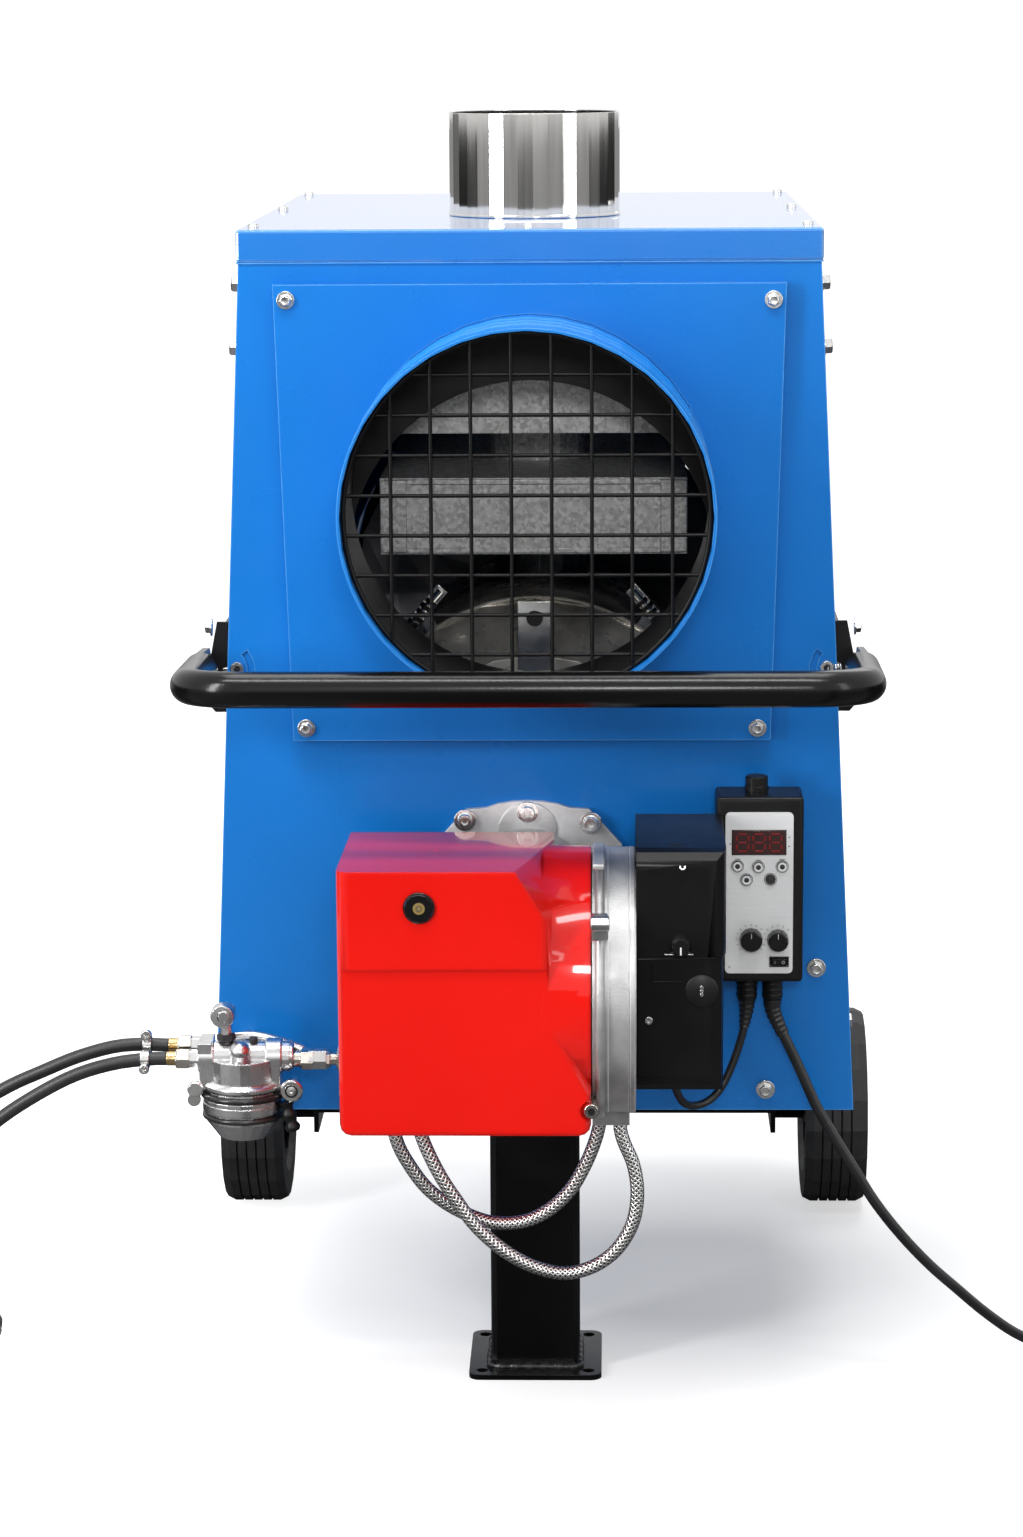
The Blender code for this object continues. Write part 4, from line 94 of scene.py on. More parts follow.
# ---------------------------------------------------------------- materials
class Nodes:
    """A short way to write a node tree."""

    def __init__(self, name):
        self.material = bpy.data.materials.new(name)
        self.material.use_nodes = True
        self.tree = self.material.node_tree
        self.shader = self.tree.nodes["Principled BSDF"]

    def add(self, kind, **values):
        node = self.tree.nodes.new(kind)
        for key, value in values.items():
            setattr(node, key, value)
        return node

    def link(self, source, target):
        self.tree.links.new(source, target)

    def set(self, **values):
        names = {
            "color": "Base Color", "metallic": "Metallic", "roughness": "Roughness", "coat": "Coat Weight",
            "coat_roughness": "Coat Roughness", "specular": "Specular IOR Level",
            "emission": "Emission Color",
        }
        for key, value in values.items():
            if key in ("color", "emission"):
                value = (*value, 1.0)
            self.shader.inputs[names[key]].default_value = value

    def place(self, kind="Object", scale=(1.0, 1.0, 1.0), rotation=(0.0, 0.0, 0.0)):
        coordinates = self.add("ShaderNodeTexCoord")
        mapping = self.add("ShaderNodeMapping")
        mapping.inputs["Scale"].default_value = scale
        mapping.inputs["Rotation"].default_value = rotation
        self.link(coordinates.outputs[kind], mapping.inputs["Vector"])
        return mapping.outputs["Vector"]

    def noise(self, scale, detail=3.0, place=None):
        node = self.add("ShaderNodeTexNoise")
        node.inputs["Scale"].default_value = scale
        node.inputs["Detail"].default_value = detail
        self.link(place or self.place(), node.inputs["Vector"])
        return node.outputs["Fac"]

    def cells(self, scale, output="Distance"):
        node = self.add("ShaderNodeTexVoronoi", feature="F1")
        node.inputs["Scale"].default_value = scale
        self.link(self.place(), node.inputs["Vector"])
        return node.outputs[output]

    def wave(self, scale, place):
        node = self.add("ShaderNodeTexWave", wave_type="BANDS", bands_direction="X")
        node.inputs["Scale"].default_value = scale
        self.link(place, node.inputs["Vector"])
        return node.outputs["Fac"]

    def map(self, source, low, high, from_low=0.0, from_high=1.0):
        node = self.add("ShaderNodeMapRange")
        for name, value in zip(
            ("From Min", "From Max", "To Min", "To Max"), (from_low, from_high, low, high)
        ):
            node.inputs[name].default_value = value
        self.link(source, node.inputs["Value"])
        return node.outputs["Result"]

    def math(self, kind, first, second):
        node = self.add("ShaderNodeMath", operation=kind)
        for index, value in enumerate((first, second)):
            if isinstance(value, float):
                node.inputs[index].default_value = value
            else:
                self.link(value, node.inputs[index])
        return node.outputs["Value"]

    def ramp(self, source, *stops):
        node = self.add("ShaderNodeValToRGB")
        elements = node.color_ramp.elements
        for place, _ in stops[1:-1]:
            elements.new(place)
        elements[0].position, elements[-1].position = stops[0][0], stops[-1][0]
        for element, (_, color) in zip(elements, stops):
            element.color = (*color, 1.0)
        self.link(source, node.inputs["Fac"])
        return node.outputs["Color"]

    def mix(self, factor, first, second):
        node = self.add("ShaderNodeMix", data_type="RGBA")
        self.link(factor, node.inputs["Factor"])
        for name, value in (("A", first), ("B", second)):
            socket = [s for s in node.inputs if s.name == name and s.type == "RGBA"][0]
            if isinstance(value, tuple):
                socket.default_value = (*value, 1.0)
            else:
                self.link(value, socket)
        return [s for s in node.outputs if s.type == "RGBA"][0]

    def color(self, source):
        self.link(source, self.shader.inputs["Base Color"])

    def roughness(self, source):
        self.link(source, self.shader.inputs["Roughness"])

    def bump(self, source, strength, distance, edge=0.0):
        """A bump over edges that are rounded in the shading by the edge radius."""
        node = self.add("ShaderNodeBump")
        node.inputs["Strength"].default_value = strength
        node.inputs["Distance"].default_value = distance
        self.link(source, node.inputs["Height"])
        if edge:
            self.link(self.rounding(edge), node.inputs["Normal"])
        self.link(node.outputs["Normal"], self.shader.inputs["Normal"])

    def rounding(self, radius):
        node = self.add("ShaderNodeBevel", samples=4)
        node.inputs["Radius"].default_value = radius
        return node.outputs["Normal"]

    def edges(self, radius):
        """1 along sharp edges and 0 away from them."""
        geometry = self.add("ShaderNodeNewGeometry")
        product = self.add("ShaderNodeVectorMath", operation="DOT_PRODUCT")
        self.link(self.rounding(radius), product.inputs[0])
        self.link(geometry.outputs["Normal"], product.inputs[1])
        return self.map(product.outputs["Value"], 1.0, 0.0, 0.85, 0.995)


def grey(tone):
    return (tone, tone, tone)


def painted(name, color, sheen_color, rough, coat=0.0, sheen_width=0.0012, peel=0.15, edge=0.0008, shine=0.5):
    n = Nodes(name)
    n.set(coat=coat, coat_roughness=0.06, specular=shine)
    cloudy = n.noise(3.0, 4.0)
    darker = tuple(c * 0.86 for c in color)
    base = n.ramp(cloudy, (0.3, darker), (0.7, color))
    # Patchy lighter colour along sharp edges: a painted highlight where the edges catch the light
    n.color(n.mix(n.math("MULTIPLY", n.edges(sheen_width), n.map(n.noise(60.0), 0.25, 0.9)), base, sheen_color))
    n.roughness(n.map(n.noise(22.0, 6.0), rough * 0.8, rough * 1.25))
    n.bump(n.noise(420.0, 1.0), peel, 0.0004, edge)
    return n.material


def metal(
    name, dark, light, rough, grain=180.0, patch=9.0, bump=0.15, metallic=1.0, edge=0.0006, depth=0.0003
):
    n = Nodes(name)
    n.set(metallic=metallic)
    base = n.ramp(n.noise(patch, 6.0), (0.3, dark), (0.72, light))
    # Lighter colour along sharp edges: a painted highlight
    n.color(n.mix(n.edges(0.0008), base, tuple(min(c * 1.25, 1.0) for c in light)))
    n.roughness(n.map(n.noise(grain * 0.4, 5.0), rough * 0.75, rough * 1.3))
    n.bump(n.noise(grain, 4.0), bump, depth, edge)
    return n.material


def plastic(name, color, rough, grain=900.0, bump=0.12, edge=0.0006, coat=0.0, shine=0.3):
    n = Nodes(name)
    n.set(coat=coat, coat_roughness=0.08, specular=shine)
    lighter = tuple(c * 1.5 + 0.004 for c in color)
    n.color(n.mix(n.map(n.noise(14.0, 5.0), 0.0, 0.55, 0.35, 0.75), color, lighter))
    n.roughness(n.map(n.noise(45.0, 5.0), rough * 0.8, rough * 1.2))
    n.bump(n.cells(grain), bump, 0.0002, edge)
    return n.material


def make_red():
    n = Nodes("red_gloss")
    n.set(coat=0.6, coat_roughness=0.04, specular=0.12)
    n.color(n.ramp(n.noise(4.0, 3.0), (0.3, (0.66, 0.006, 0.003)), (0.7, (0.74, 0.009, 0.005))))
    n.roughness(n.map(n.noise(30.0, 5.0), 0.14, 0.24))
    n.bump(n.noise(260.0, 1.0), 0.04, 0.0003, 0.0045)
    return n.material


def make_cast(name, metallic, painted_lift):
    """Sand-cast aluminium: grainy, with soft darker patches and a painted highlight along sharp edges; the
    lift scales its tones up, painted light.
    """
    n = Nodes(name)
    n.set(metallic=metallic)
    tones = ((0.32, 0.22), (0.52, 0.4), (0.72, 0.6))
    patches = n.ramp(n.noise(16.0, 7.0), *((stop, grey(tone * painted_lift)) for stop, tone in tones))
    n.color(n.mix(n.edges(0.0015), patches, (0.82, 0.83, 0.84)))
    n.roughness(n.map(n.noise(90.0, 6.0), 0.32, 0.55))
    n.bump(n.math("ADD", n.noise(700.0, 2.0), n.cells(420.0)), 0.22, 0.0004, 0.0016)
    return n.material


def make_galvanised():
    """Zinc-coated sheet with its crystal pattern."""
    n = Nodes("galvanised")
    n.set(metallic=0.35)
    tone = n.cells(300.0, output="Color")
    parts = n.add("ShaderNodeSeparateColor")
    n.link(tone, parts.inputs["Color"])
    n.color(n.ramp(parts.outputs["Red"], (0.0, (0.48, 0.48, 0.47)), (1.0, (0.86, 0.86, 0.85))))
    n.roughness(n.map(parts.outputs["Green"], 0.28, 0.52))
    n.bump(n.noise(520.0, 3.0), 0.2, 0.0003, 0.001)
    return n.material


def make_stainless():
    """Bright rolled tube, drawn along its length."""
    n = Nodes("stainless")
    n.set(metallic=1.0)
    streaks = n.noise(40.0, 5.0, n.place(scale=(6.0, 6.0, 0.15)))
    n.color(n.ramp(streaks, (0.25, (0.66, 0.65, 0.63)), (0.75, (0.8, 0.79, 0.77))))
    n.roughness(n.map(streaks, 0.03, 0.09))
    n.bump(streaks, 0.02, 0.0003, 0.0008)
    return n.material


def make_drum():
    """Heat-resisting steel, browned by the fire, with brighter rubbed places."""
    n = Nodes("fired_steel")
    n.set(metallic=0.55)
    patches = n.noise(9.0, 8.0)
    n.color(n.ramp(patches, (0.32, (0.09, 0.085, 0.08)), (0.46, (0.42, 0.4, 0.36)), (0.58, (0.9, 0.87, 0.8))))
    n.roughness(n.map(n.noise(60.0, 6.0), 0.2, 0.38))
    n.bump(n.noise(160.0, 5.0), 0.15, 0.0004, 0.001)
    return n.material


def make_braid():
    """Steel wires woven round the hose; the pattern follows the tube's own length and girth."""
    n = Nodes("steel_braid")
    n.set(metallic=1.0)
    turns = (radians(42), radians(-42))
    first, second = (n.wave(95.0, n.place("UV", rotation=(0.0, 0.0, turn))) for turn in turns)
    woven = n.math("MAXIMUM", first, second)
    patches = n.noise(160.0, 3.0)
    height = n.math("MULTIPLY", woven, n.map(patches, 0.7, 1.0))
    # Dark in the low places of the weave and bright on the wire crowns: painted shade and painted highlight
    n.color(n.ramp(height, (0.25, grey(0.05)), (0.5, (0.5, 0.5, 0.49)), (0.8, (0.92, 0.92, 0.91))))
    n.roughness(n.map(woven, 0.5, 0.24))
    n.bump(woven, 0.8, 0.0007)
    return n.material


def make_rubber(name, color, rough, ridges=0.0):
    n = Nodes(name)
    n.color(n.ramp(n.noise(35.0, 6.0), (0.3, color), (0.8, tuple(c * 2.2 + 0.004 for c in color))))
    n.roughness(n.map(n.noise(80.0, 5.0), rough * 0.8, rough * 1.15))
    if ridges:
        wrap = n.wave(ridges, n.place("UV"))
        n.bump(n.math("ADD", n.map(wrap, 0.0, 0.4), n.noise(600.0, 2.0)), 0.18, 0.0004)
    else:
        n.bump(n.noise(600.0, 3.0), 0.2, 0.0004, 0.0006)
    return n.material


def make_brushed():
    """Silver front plate, finely brushed from side to side."""
    n = Nodes("silver_plate")
    n.set(metallic=0.1)
    streaks = n.noise(60.0, 6.0, n.place(scale=(1.0, 1.0, 22.0)))
    n.color(n.ramp(streaks, (0.2, (0.74, 0.745, 0.75)), (0.8, (0.82, 0.825, 0.83))))
    n.roughness(n.map(streaks, 0.36, 0.52))
    n.bump(streaks, 0.05, 0.0002, 0.0004)
    return n.material


def make_glass():
    """Dark red window over the display's unlit figures."""
    n = Nodes("display_window")
    n.set(coat=1.0, coat_roughness=0.05)
    n.color(n.ramp(n.noise(120.0, 2.0), (0.3, (0.03, 0.003, 0.003)), (0.7, (0.045, 0.004, 0.004))))
    n.roughness(n.map(n.noise(90.0), 0.22, 0.34))
    return n.material


M = {
    "blue": painted(
        "blue_powder_coat", (0.006, 0.175, 0.58), (0.18, 0.52, 0.97), 0.28, sheen_width=0.002, shine=0.25
    ),
    "lid": painted(
        "blue_lid_coat", (0.006, 0.175, 0.58), (0.3, 0.62, 1.0), 0.24, coat=1.0, sheen_width=0.002, shine=0.6
    ),
    "black_paint": painted("black_gloss_paint", (0.003, 0.003, 0.0035), grey(0.03), 0.2, shine=0.3),
    "bracket": painted(
        "black_satin_paint", (0.004, 0.004, 0.005), (0.04, 0.04, 0.045), 0.36, sheen_width=0.001, shine=0.25
    ),
    "red": make_red(),
    "plastic": plastic("black_plastic", (0.004, 0.004, 0.0045), 0.4),
    "case": plastic("black_case_plastic", (0.003, 0.003, 0.0035), 0.3, grain=1400.0, bump=0.08, shine=0.22),
    "gloss": plastic("black_gloss_plastic", (0.004, 0.004, 0.0045), 0.16, bump=0.03, shine=0.5),
    "silver": make_brushed(),
    "cast": make_cast("cast_aluminium", 0.55, 1.05),
    # A lighter, less metallic copy of the casting for the flange: painted light on a part that sits in shade
    "lightened_cast": make_cast("casting_painted_lighter", 0.25, 1.45),
    "smooth_cast": metal(
        "polished_casting", grey(0.5), grey(0.74), 0.26, grain=220.0, bump=0.12, edge=0.0012
    ),
    "galvanised": make_galvanised(),
    "stainless": make_stainless(),
    "drum": make_drum(),
    "zinc": metal(
        "zinc_bolt", (0.58, 0.58, 0.57), (0.84, 0.84, 0.82), 0.22, grain=500.0, patch=60.0, bump=0.1,
        edge=0.0004
    ),
    "nickel": metal(
        "nickel_fitting", (0.55, 0.5, 0.44), (0.8, 0.76, 0.69), 0.2, grain=400.0, patch=40.0, bump=0.08
    ),
    "brass": metal(
        "brass_fitting", (0.42, 0.29, 0.12), (0.72, 0.53, 0.27), 0.24, grain=400.0, patch=50.0, bump=0.08
    ),
    "motor": metal(
        "motor_casting", (0.2, 0.2, 0.21), (0.36, 0.36, 0.37), 0.45, grain=400.0, bump=0.25, metallic=0.9
    ),
    "fan": metal("fan_blade", (0.08, 0.08, 0.085), (0.16, 0.16, 0.17), 0.4, grain=300.0, bump=0.12),
    "wire": painted("black_wire", grey(0.004), grey(0.03), 0.34, sheen_width=0.0004, edge=0.0, shine=0.2),
    "braid": make_braid(),
    "hose": make_rubber("oil_hose", (0.01, 0.01, 0.011), 0.42, ridges=60.0),
    "cable": make_rubber("cable_sheath", (0.008, 0.008, 0.009), 0.34),
    "tyre": make_rubber("tyre", grey(0.01), 0.62),
    "seal": make_rubber("rubber_ring", grey(0.007), 0.28),
    "window": make_glass(),
    "segment": plastic("display_figure", (0.22, 0.012, 0.012), 0.3, bump=0.02),
    "print": plastic("dark_print", (0.03, 0.03, 0.032), 0.5, bump=0.02),
    "mark": plastic("light_print", grey(0.66), 0.45, bump=0.02),
    "amber": plastic("amber_lens", (0.2, 0.14, 0.045), 0.22, bump=0.02, coat=0.6),
    "weld": metal(
        "weld_bead", (0.01, 0.01, 0.011), (0.03, 0.03, 0.032), 0.3, grain=220.0, bump=0.5, metallic=0.2,
        depth=0.001
    ),
}

LOOKS = {
    "blue": (
        "front_panel", "side_panel_left", "side_panel_right", "floor_pan", "rear_panel", "duct_plate",
        "duct_spigot",
    ),
    "lid": ("lid",),
    "bracket": ("air_baffle", "handle_bracket_left", "handle_bracket_right", "outlet_grille"),
    "black_paint": ("handle_bar", "front_leg", "axle_frame", "fan_guard"),
    "stainless": ("flue_pipe",),
    "drum": ("combustion_chamber", "blast_tube"),
    "galvanised": ("heat_exchanger", "smoke_box"),
    "motor": ("fan_motor",),
    "fan": ("fan_impeller", "burner_fan"),
    "tyre": ("tyre_left", "tyre_right"),
    "plastic": ("wheel_rim_left", "wheel_rim_right", "control_box"),
    "cast": ("burner_housing",),
    "lightened_cast": ("burner_flange",),
    "red": ("burner_cover",),
    "case": ("intake_cover", "burner_motor"),
    "gloss": (
        "reset_button", "damper_knob", "thermostat_knob", "mode_knob", "power_switch", "push_button_1",
        "push_button_2", "push_button_3", "push_button_4", "push_button_5",
    ),
    "silver": ("control_faceplate",),
    "smooth_cast": ("filter_head", "filter_bowl", "filter_valve"),
    "nickel": ("supply_fitting", "return_fitting"),
    "cable": ("mains_cord", "mains_coil", "mains_plug", "burner_lead"),
    "hose": ("supply_hose", "supply_coil", "return_hose", "return_coil"),
    "braid": ("braided_hose_inner", "braided_hose_outer"),
}


def dress_nodes():
    for look, names in LOOKS.items():
        for name in names:
            data = NODES[name].data
            data.materials.clear()
            data.materials.append(M[look])


# ---------------------------------------------------------------- mesh building
class Piece:
    """One visible piece, made of turned, flat-sided and swept forms."""

    def __init__(self, name, *looks):
        self.name, self.looks = name, looks
        self.bm = bmesh.new()
        self.uv = self.bm.loops.layers.uv.new("UVMap")

    def skin(self, rings, look, closed=False):
        """Faces between rings of points, with caps at both ends unless the rings close on themselves."""
        made = [[self.bm.verts.new(point) for point in ring] for ring in rings]
        pairs = list(zip(made, made[1:])) + ([(made[-1], made[0])] if closed else [])
        for first, second in pairs:
            count = len(first)
            for index in range(count):
                following = (index + 1) % count
                self.bm.faces.new(
                    (first[index], first[following], second[following], second[index])
                ).material_index = look
        if not closed:
            self.bm.faces.new(made[0][::-1]).material_index = look
            self.bm.faces.new(made[-1]).material_index = look

    def lathe(self, profile, base, axis=UP, look=0, steps=32, turn=0.0):
        """Turns (radius, height) pairs about an axis; a radius of 0 closes the form."""
        quaternion = Vector(axis).to_track_quat("Z", "Y")
        rings = []
        for radius, height in profile:
            count = steps if radius > 1e-7 else 1
            ring = []
            for index in range(count):
                angle = turn + 2 * pi * index / count
                spot = Vector((radius * cos(angle), radius * sin(angle), height))
                ring.append(self.bm.verts.new(quaternion @ spot + Vector(base)))
            rings.append(ring)
        for first, second in zip(rings, rings[1:]):
            for index in range(steps):
                following = (index + 1) % steps
                corners = [first[index % len(first)], first[following % len(first)]]
                corners += [second[following % len(second)], second[index % len(second)]]
                unique = list(dict.fromkeys(corners))
                if len(unique) > 2:
                    self.bm.faces.new(unique).material_index = look

    def block(self, low, high, look=0):
        (a, b, c), (d, e, f) = low, high
        self.skin([[(a, b, z), (d, b, z), (d, e, z), (a, e, z)] for z in (c, f)], look)

    def tube(self, points, radius, look=0, sides=12, closed=False):
        """A round form along points; its texture place is in metres, along and round."""
        points = [Vector(point) for point in points]
        radii = radius if isinstance(radius, (list, tuple)) else [radius] * len(points)
        ahead = None
        normal = None
        rings, travelled = [], [0.0]
        for index, point in enumerate(points):
            before = points[index - 1] if index or closed else point
            after = points[(index + 1) % len(points)] if index < len(points) - 1 or closed else point
            direction = (after - before).normalized()
            if normal is None:
                normal = direction.orthogonal().normalized()
            else:
                normal = ahead.rotation_difference(direction) @ normal
            ahead = direction
            side = direction.cross(normal).normalized()
            up = side.cross(direction).normalized()
            normal = up
            rings.append([
                point + (up * cos(2 * pi * k / sides) + side * sin(2 * pi * k / sides)) * radii[index]
                for k in range(sides)
            ])
            if index:
                travelled.append(travelled[-1] + (point - points[index - 1]).length)
        start = len(self.bm.faces)
        self.skin(rings, look, closed)
        self.bm.faces.ensure_lookup_table()
        girth = 2 * pi * max(radii)
        if not closed:
            for order in range((len(points) - 1) * sides):
                face = self.bm.faces[start + order]
                row, column = divmod(order, sides)
                spots = ((row, column), (row, column + 1), (row + 1, column + 1), (row + 1, column))
                for loop, (along, around) in zip(face.loops, spots):
                    loop[self.uv].uv = (travelled[along], girth * around / sides)

    def done(self, body="heater", bevel=0.0, segments=2, angle=38, stands_for=()):
        bmesh.ops.recalc_face_normals(self.bm, faces=self.bm.faces)
        data = bpy.data.meshes.new(self.name)
        self.bm.to_mesh(data)
        self.bm.free()
        for look in self.looks:
            data.materials.append(M[look])
        data.shade_smooth()
        data.set_sharp_from_angle(angle=radians(angle))
        made = make_object(self.name, data)
        if bevel:
            modifier = made.modifiers.new("bevel", "BEVEL")
            modifier.width = bevel
            modifier.segments = segments
            modifier.limit_method = "ANGLE"
            modifier.angle_limit = radians(35)
            modifier.harden_normals = False
        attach(made, body)
        if stands_for:
            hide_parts(*stands_for)
        return made


def circle(centre, radius, axis, steps):
    quaternion = Vector(axis).to_track_quat("Z", "Y")
    angles = [2 * pi * k / steps for k in range(steps)]
    return [quaternion @ Vector((radius * cos(a), radius * sin(a), 0.0)) + Vector(centre) for a in angles]


def contour(*pairs):
    """Radii and heights for turning, which are written in tenths of a millimetre."""
    return [(radius / 10000, height / 10000) for radius, height in pairs]


def disc(radius, height):
    """The profile of a plain disc."""
    return [(0.0, 0.0), (radius, 0.0), (radius, height), (0.0, height)]


def turned(name, look, profile, place, axis, steps, bevel=0.0):
    """A piece that is one turned form."""
    piece = Piece(name, look)
    piece.lathe(profile, place, axis, 0, steps)
    piece.done(bevel=bevel)


def nut(piece, place, axis, flats, height, look, turn, chamfer=0.0009, share=0.88):
    """A six-sided nut, chamfered at both faces."""
    radius = flats / sqrt(3)
    side = [(radius, chamfer), (radius, height - chamfer)]
    piece.lathe(
        [(0.0, 0.0), (radius * share, 0.0), *side, (radius * share, height), (0.0, height)], place, axis,
        look, 6, turn
    )


def box_of(name):
    """The middle of a node's box, and its two corners."""
    low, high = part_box(name)
    return (low + high) / 2, low, high


def hex_head(piece, place, axis, flats, height, look=0, turn=0.2):
    """A six-sided head with a chamfered crown and a shallow ring in it."""
    radius = flats / sqrt(3)
    rings = ((radius, 0.0), (radius, height * 0.82), (radius * 0.86, height))
    for (low_radius, low), (high_radius, high) in zip(rings, rings[1:]):
        piece.lathe([(low_radius, low), (high_radius, high)], place, axis, look, 6, turn)
    piece.lathe([(radius * 0.86, height), (0.0, height)], place, axis, look, 6, turn)
    crown = [
        (radius * 0.66, height), (radius * 0.6, height + 0.0003), (radius * 0.5, height + 0.0001),
        (0.0, height + 0.0001)
    ]
    piece.lathe(crown, place, axis, look, 20)


def bolt(piece, place, axis, flats=0.01, head=0.0045, washer=0.0078, look=0, turn=0.2):
    piece.lathe(
        [(0.0, 0.0), (washer, 0.0), (washer, 0.0011), (washer - 0.0004, 0.0015), (0.0, 0.0015)], place, axis,
        look
    )
    hex_head(piece, Vector(place) + Vector(axis) * 0.0015, axis, flats, head, look, turn)


def cap_screw(piece, place, axis, radius, height, look=0, shaded_socket_look=None):
    """A round head with a six-sided socket, which may take a darker look as painted shade in its recess."""
    dark = look if shaded_socket_look is None else shaded_socket_look
    outside = [
        (0.0, 0.0), (radius, 0.0), (radius, height * 0.7), (radius * 0.88, height), (radius * 0.5, height)
    ]
    piece.lathe(outside, place, axis, look, 24)
    piece.lathe(
        [(radius * 0.5, height), (radius * 0.5, height * 0.35), (0.0, height * 0.35)], place, axis, dark, 6,
        0.3
    )


# ---------------------------------------------------------------- cords and hoses
MAINS_RADIUS = 0.00475
HOSE_RADIUS = 0.006
BRAID_RADIUS = 0.006
LEAD_RADIUS = 0.0035
COIL_GAP = 0.0007
FLOOR_GAP = 0.0002
LOOP_SPREAD_SHARE = 1.24
ROUTE_STEPS = 12
ROUTE_SPACING = 0.01
COIL_LOOP_POINTS = 32
COIL_RADIUS = 0.064

def in_metres(*points):
    """Places along a cord, which are written in tenths of a millimetre."""
    return [tuple(value / 10000 for value in point) for point in points]


MAINS_ROUTE = in_metres(
    (2110, -280, 3597), (2110, -280, 3540), (2130, -280, 3450),
    (2196, -290, 3300), (2305, -290, 3070), (2415, -290, 2824),
    (2510, -290, 2610), (2672, -280, 2325), (2845, -270, 2037),
    (3030, -250, 1730), (3265, -200, 1412), (3530, -130, 1108),
    (3790, -30, 848), (4060, 100, 580), (4350, 270, 325),
    (4630, 470, 140), (4870, 640, 62), (5040, 730, 50),
    (5180, 755, 50), (5252, 755, 50),
)
SUPPLY_ROUTE = in_metres(
    (-3206, -470, 3223), (-3260, -470, 3223), (-3400, -470, 3231),
    (-3673, -470, 3211), (-4000, -470, 3120), (-4300, -470, 2995),
    (-4690, -460, 2811), (-5190, -440, 2480), (-5630, -400, 2040),
    (-5980, -330, 1520), (-6210, -220, 1000), (-6345, -30, 500),
    (-6380, 230, 160), (-6385, 490, 63), (-6385, 644, 62),
)
RETURN_ROUTE = in_metres(
    (-3206, -660, 3153), (-3260, -660, 3153), (-3400, -660, 3145),
    (-3677, -660, 3105), (-4003, -660, 3005), (-4342, -660, 2830),
    (-4699, -670, 2595), (-5120, -700, 2240), (-5520, -750, 1790),
    (-5860, -830, 1300), (-6120, -940, 820), (-6290, -1100, 400),
    (-6368, -1330, 135), (-6385, -1570, 63), (-6385, -1724, 62),
)
INNER_ROUTE = in_metres(
    (-1220, -1180, 3047), (-1220, -1180, 2980), (-1215, -1180, 2880),
    (-1164, -1170, 2566), (-1054, -1150, 2333), (-904, -1120, 2116),
    (-698, -1090, 1944), (-456, -1080, 1826), (-260, -1080, 1789),
    (-40, -1080, 1815), (164, -1080, 1923), (350, -1080, 2112),
    (480, -1080, 2350), (560, -1080, 2560), (590, -1080, 2690),
    (590, -1080, 2757),
)
OUTER_ROUTE = in_metres(
    (-1010, -1200, 3047), (-1010, -1200, 2980), (-1002, -1200, 2880),
    (-940, -1210, 2600), (-800, -1230, 2290), (-645, -1240, 2043),
    (-473, -1250, 1808), (-249, -1260, 1608), (11, -1270, 1462),
    (276, -1270, 1400), (520, -1270, 1455), (727, -1270, 1604),
    (870, -1270, 1839), (916, -1270, 2110), (885, -1270, 2370),
    (805, -1270, 2570), (770, -1270, 2690), (770, -1270, 2757),
)
LEAD_ROUTE = in_metres(
    (1885, -280, 3597), (1885, -280, 3540), (1877, -280, 3450),
    (1853, -290, 3300), (1804, -300, 3130), (1741, -320, 2960),
    (1664, -350, 2810), (1565, -400, 2710), (1447, -480, 2680),
    (1339, -600, 2730), (1267, -740, 2871), (1238, -850, 3047),
    (1235, -875, 3160), (1235, -875, 3227),
)


def smooth_route(points, spacing=ROUTE_SPACING):
    """Even points along a smooth curve through the route's own points."""
    places = [Vector(point) for point in points]
    ends = [2 * places[0] - places[1], *places, 2 * places[-1] - places[-2]]
    fine = [places[0]]
    for before, start, end, after in zip(ends, ends[1:], ends[2:], ends[3:]):
        for step in range(ROUTE_STEPS):
            share = (step + 1) / ROUTE_STEPS
            slope, last_slope = (end - before) / 2, (after - start) / 2
            square, cube = share**2, share**3
            spot = (2 * cube - 3 * square + 1) * start + (cube - 2 * square + share) * slope
            fine.append(spot + (3 * square - 2 * cube) * end + (cube - square) * last_slope)
    return spaced(fine, spacing)


def spaced(fine, spacing):
    lengths = [(b - a).length for a, b in zip(fine, fine[1:])]
    count = max(2, round(sum(lengths) / spacing))
    step = sum(lengths) / count
    made, travelled, target = [fine[0]], 0.0, step
    for start, end, length in zip(fine, fine[1:], lengths):
        while travelled + length >= target and len(made) < count:
            made.append(start.lerp(end, (target - travelled) / length))
            target += step
        travelled += length
    return made + [fine[-1]]


def coil_points(centre, outer, radius, turns, start, sense):
    """Two layers of loops: in towards the middle, up in half a turn, and out again."""
    inward, outward = turns
    painted_lift = 2 * radius + COIL_GAP
    spread = 2 * radius * LOOP_SPREAD_SHARE
    low = radius + FLOOR_GAP
    inner = outer - spread * inward
    total = inward + 0.5 + outward
    count = round(total * COIL_LOOP_POINTS)
    points = []
    for index in range(count + 1):
        turned_by = total * index / count
        climb = min(max(2 * (turned_by - inward), 0.0), 1.0)
        reach = max(outer - spread * turned_by, inner) + spread * max(turned_by - inward - 0.5, 0.0)
        angle = start + sense * 2 * pi * turned_by
        level = low + painted_lift * climb**2 * (3 - 2 * climb)
        points.append(Vector((centre[0] + reach * cos(angle), centre[1] + reach * sin(angle), level)))
    last = start + sense * 2 * pi * total
    into = Vector((-sin(start), cos(start), 0.0)) * sense
    out = Vector((-sin(last), cos(last), 0.0)) * sense
    tail = [points[-1] + out * radius, points[-1] + out * radius * 2]
    return [points[0] - into * radius] + points + tail, out


def cord(name, points, radius, look, nodes):
    placed = [at(*point) for point in points]
    piece = Piece(name, look)
    piece.tube(placed, radius, sides=16)
    made = piece.done(stands_for=nodes)
    return made


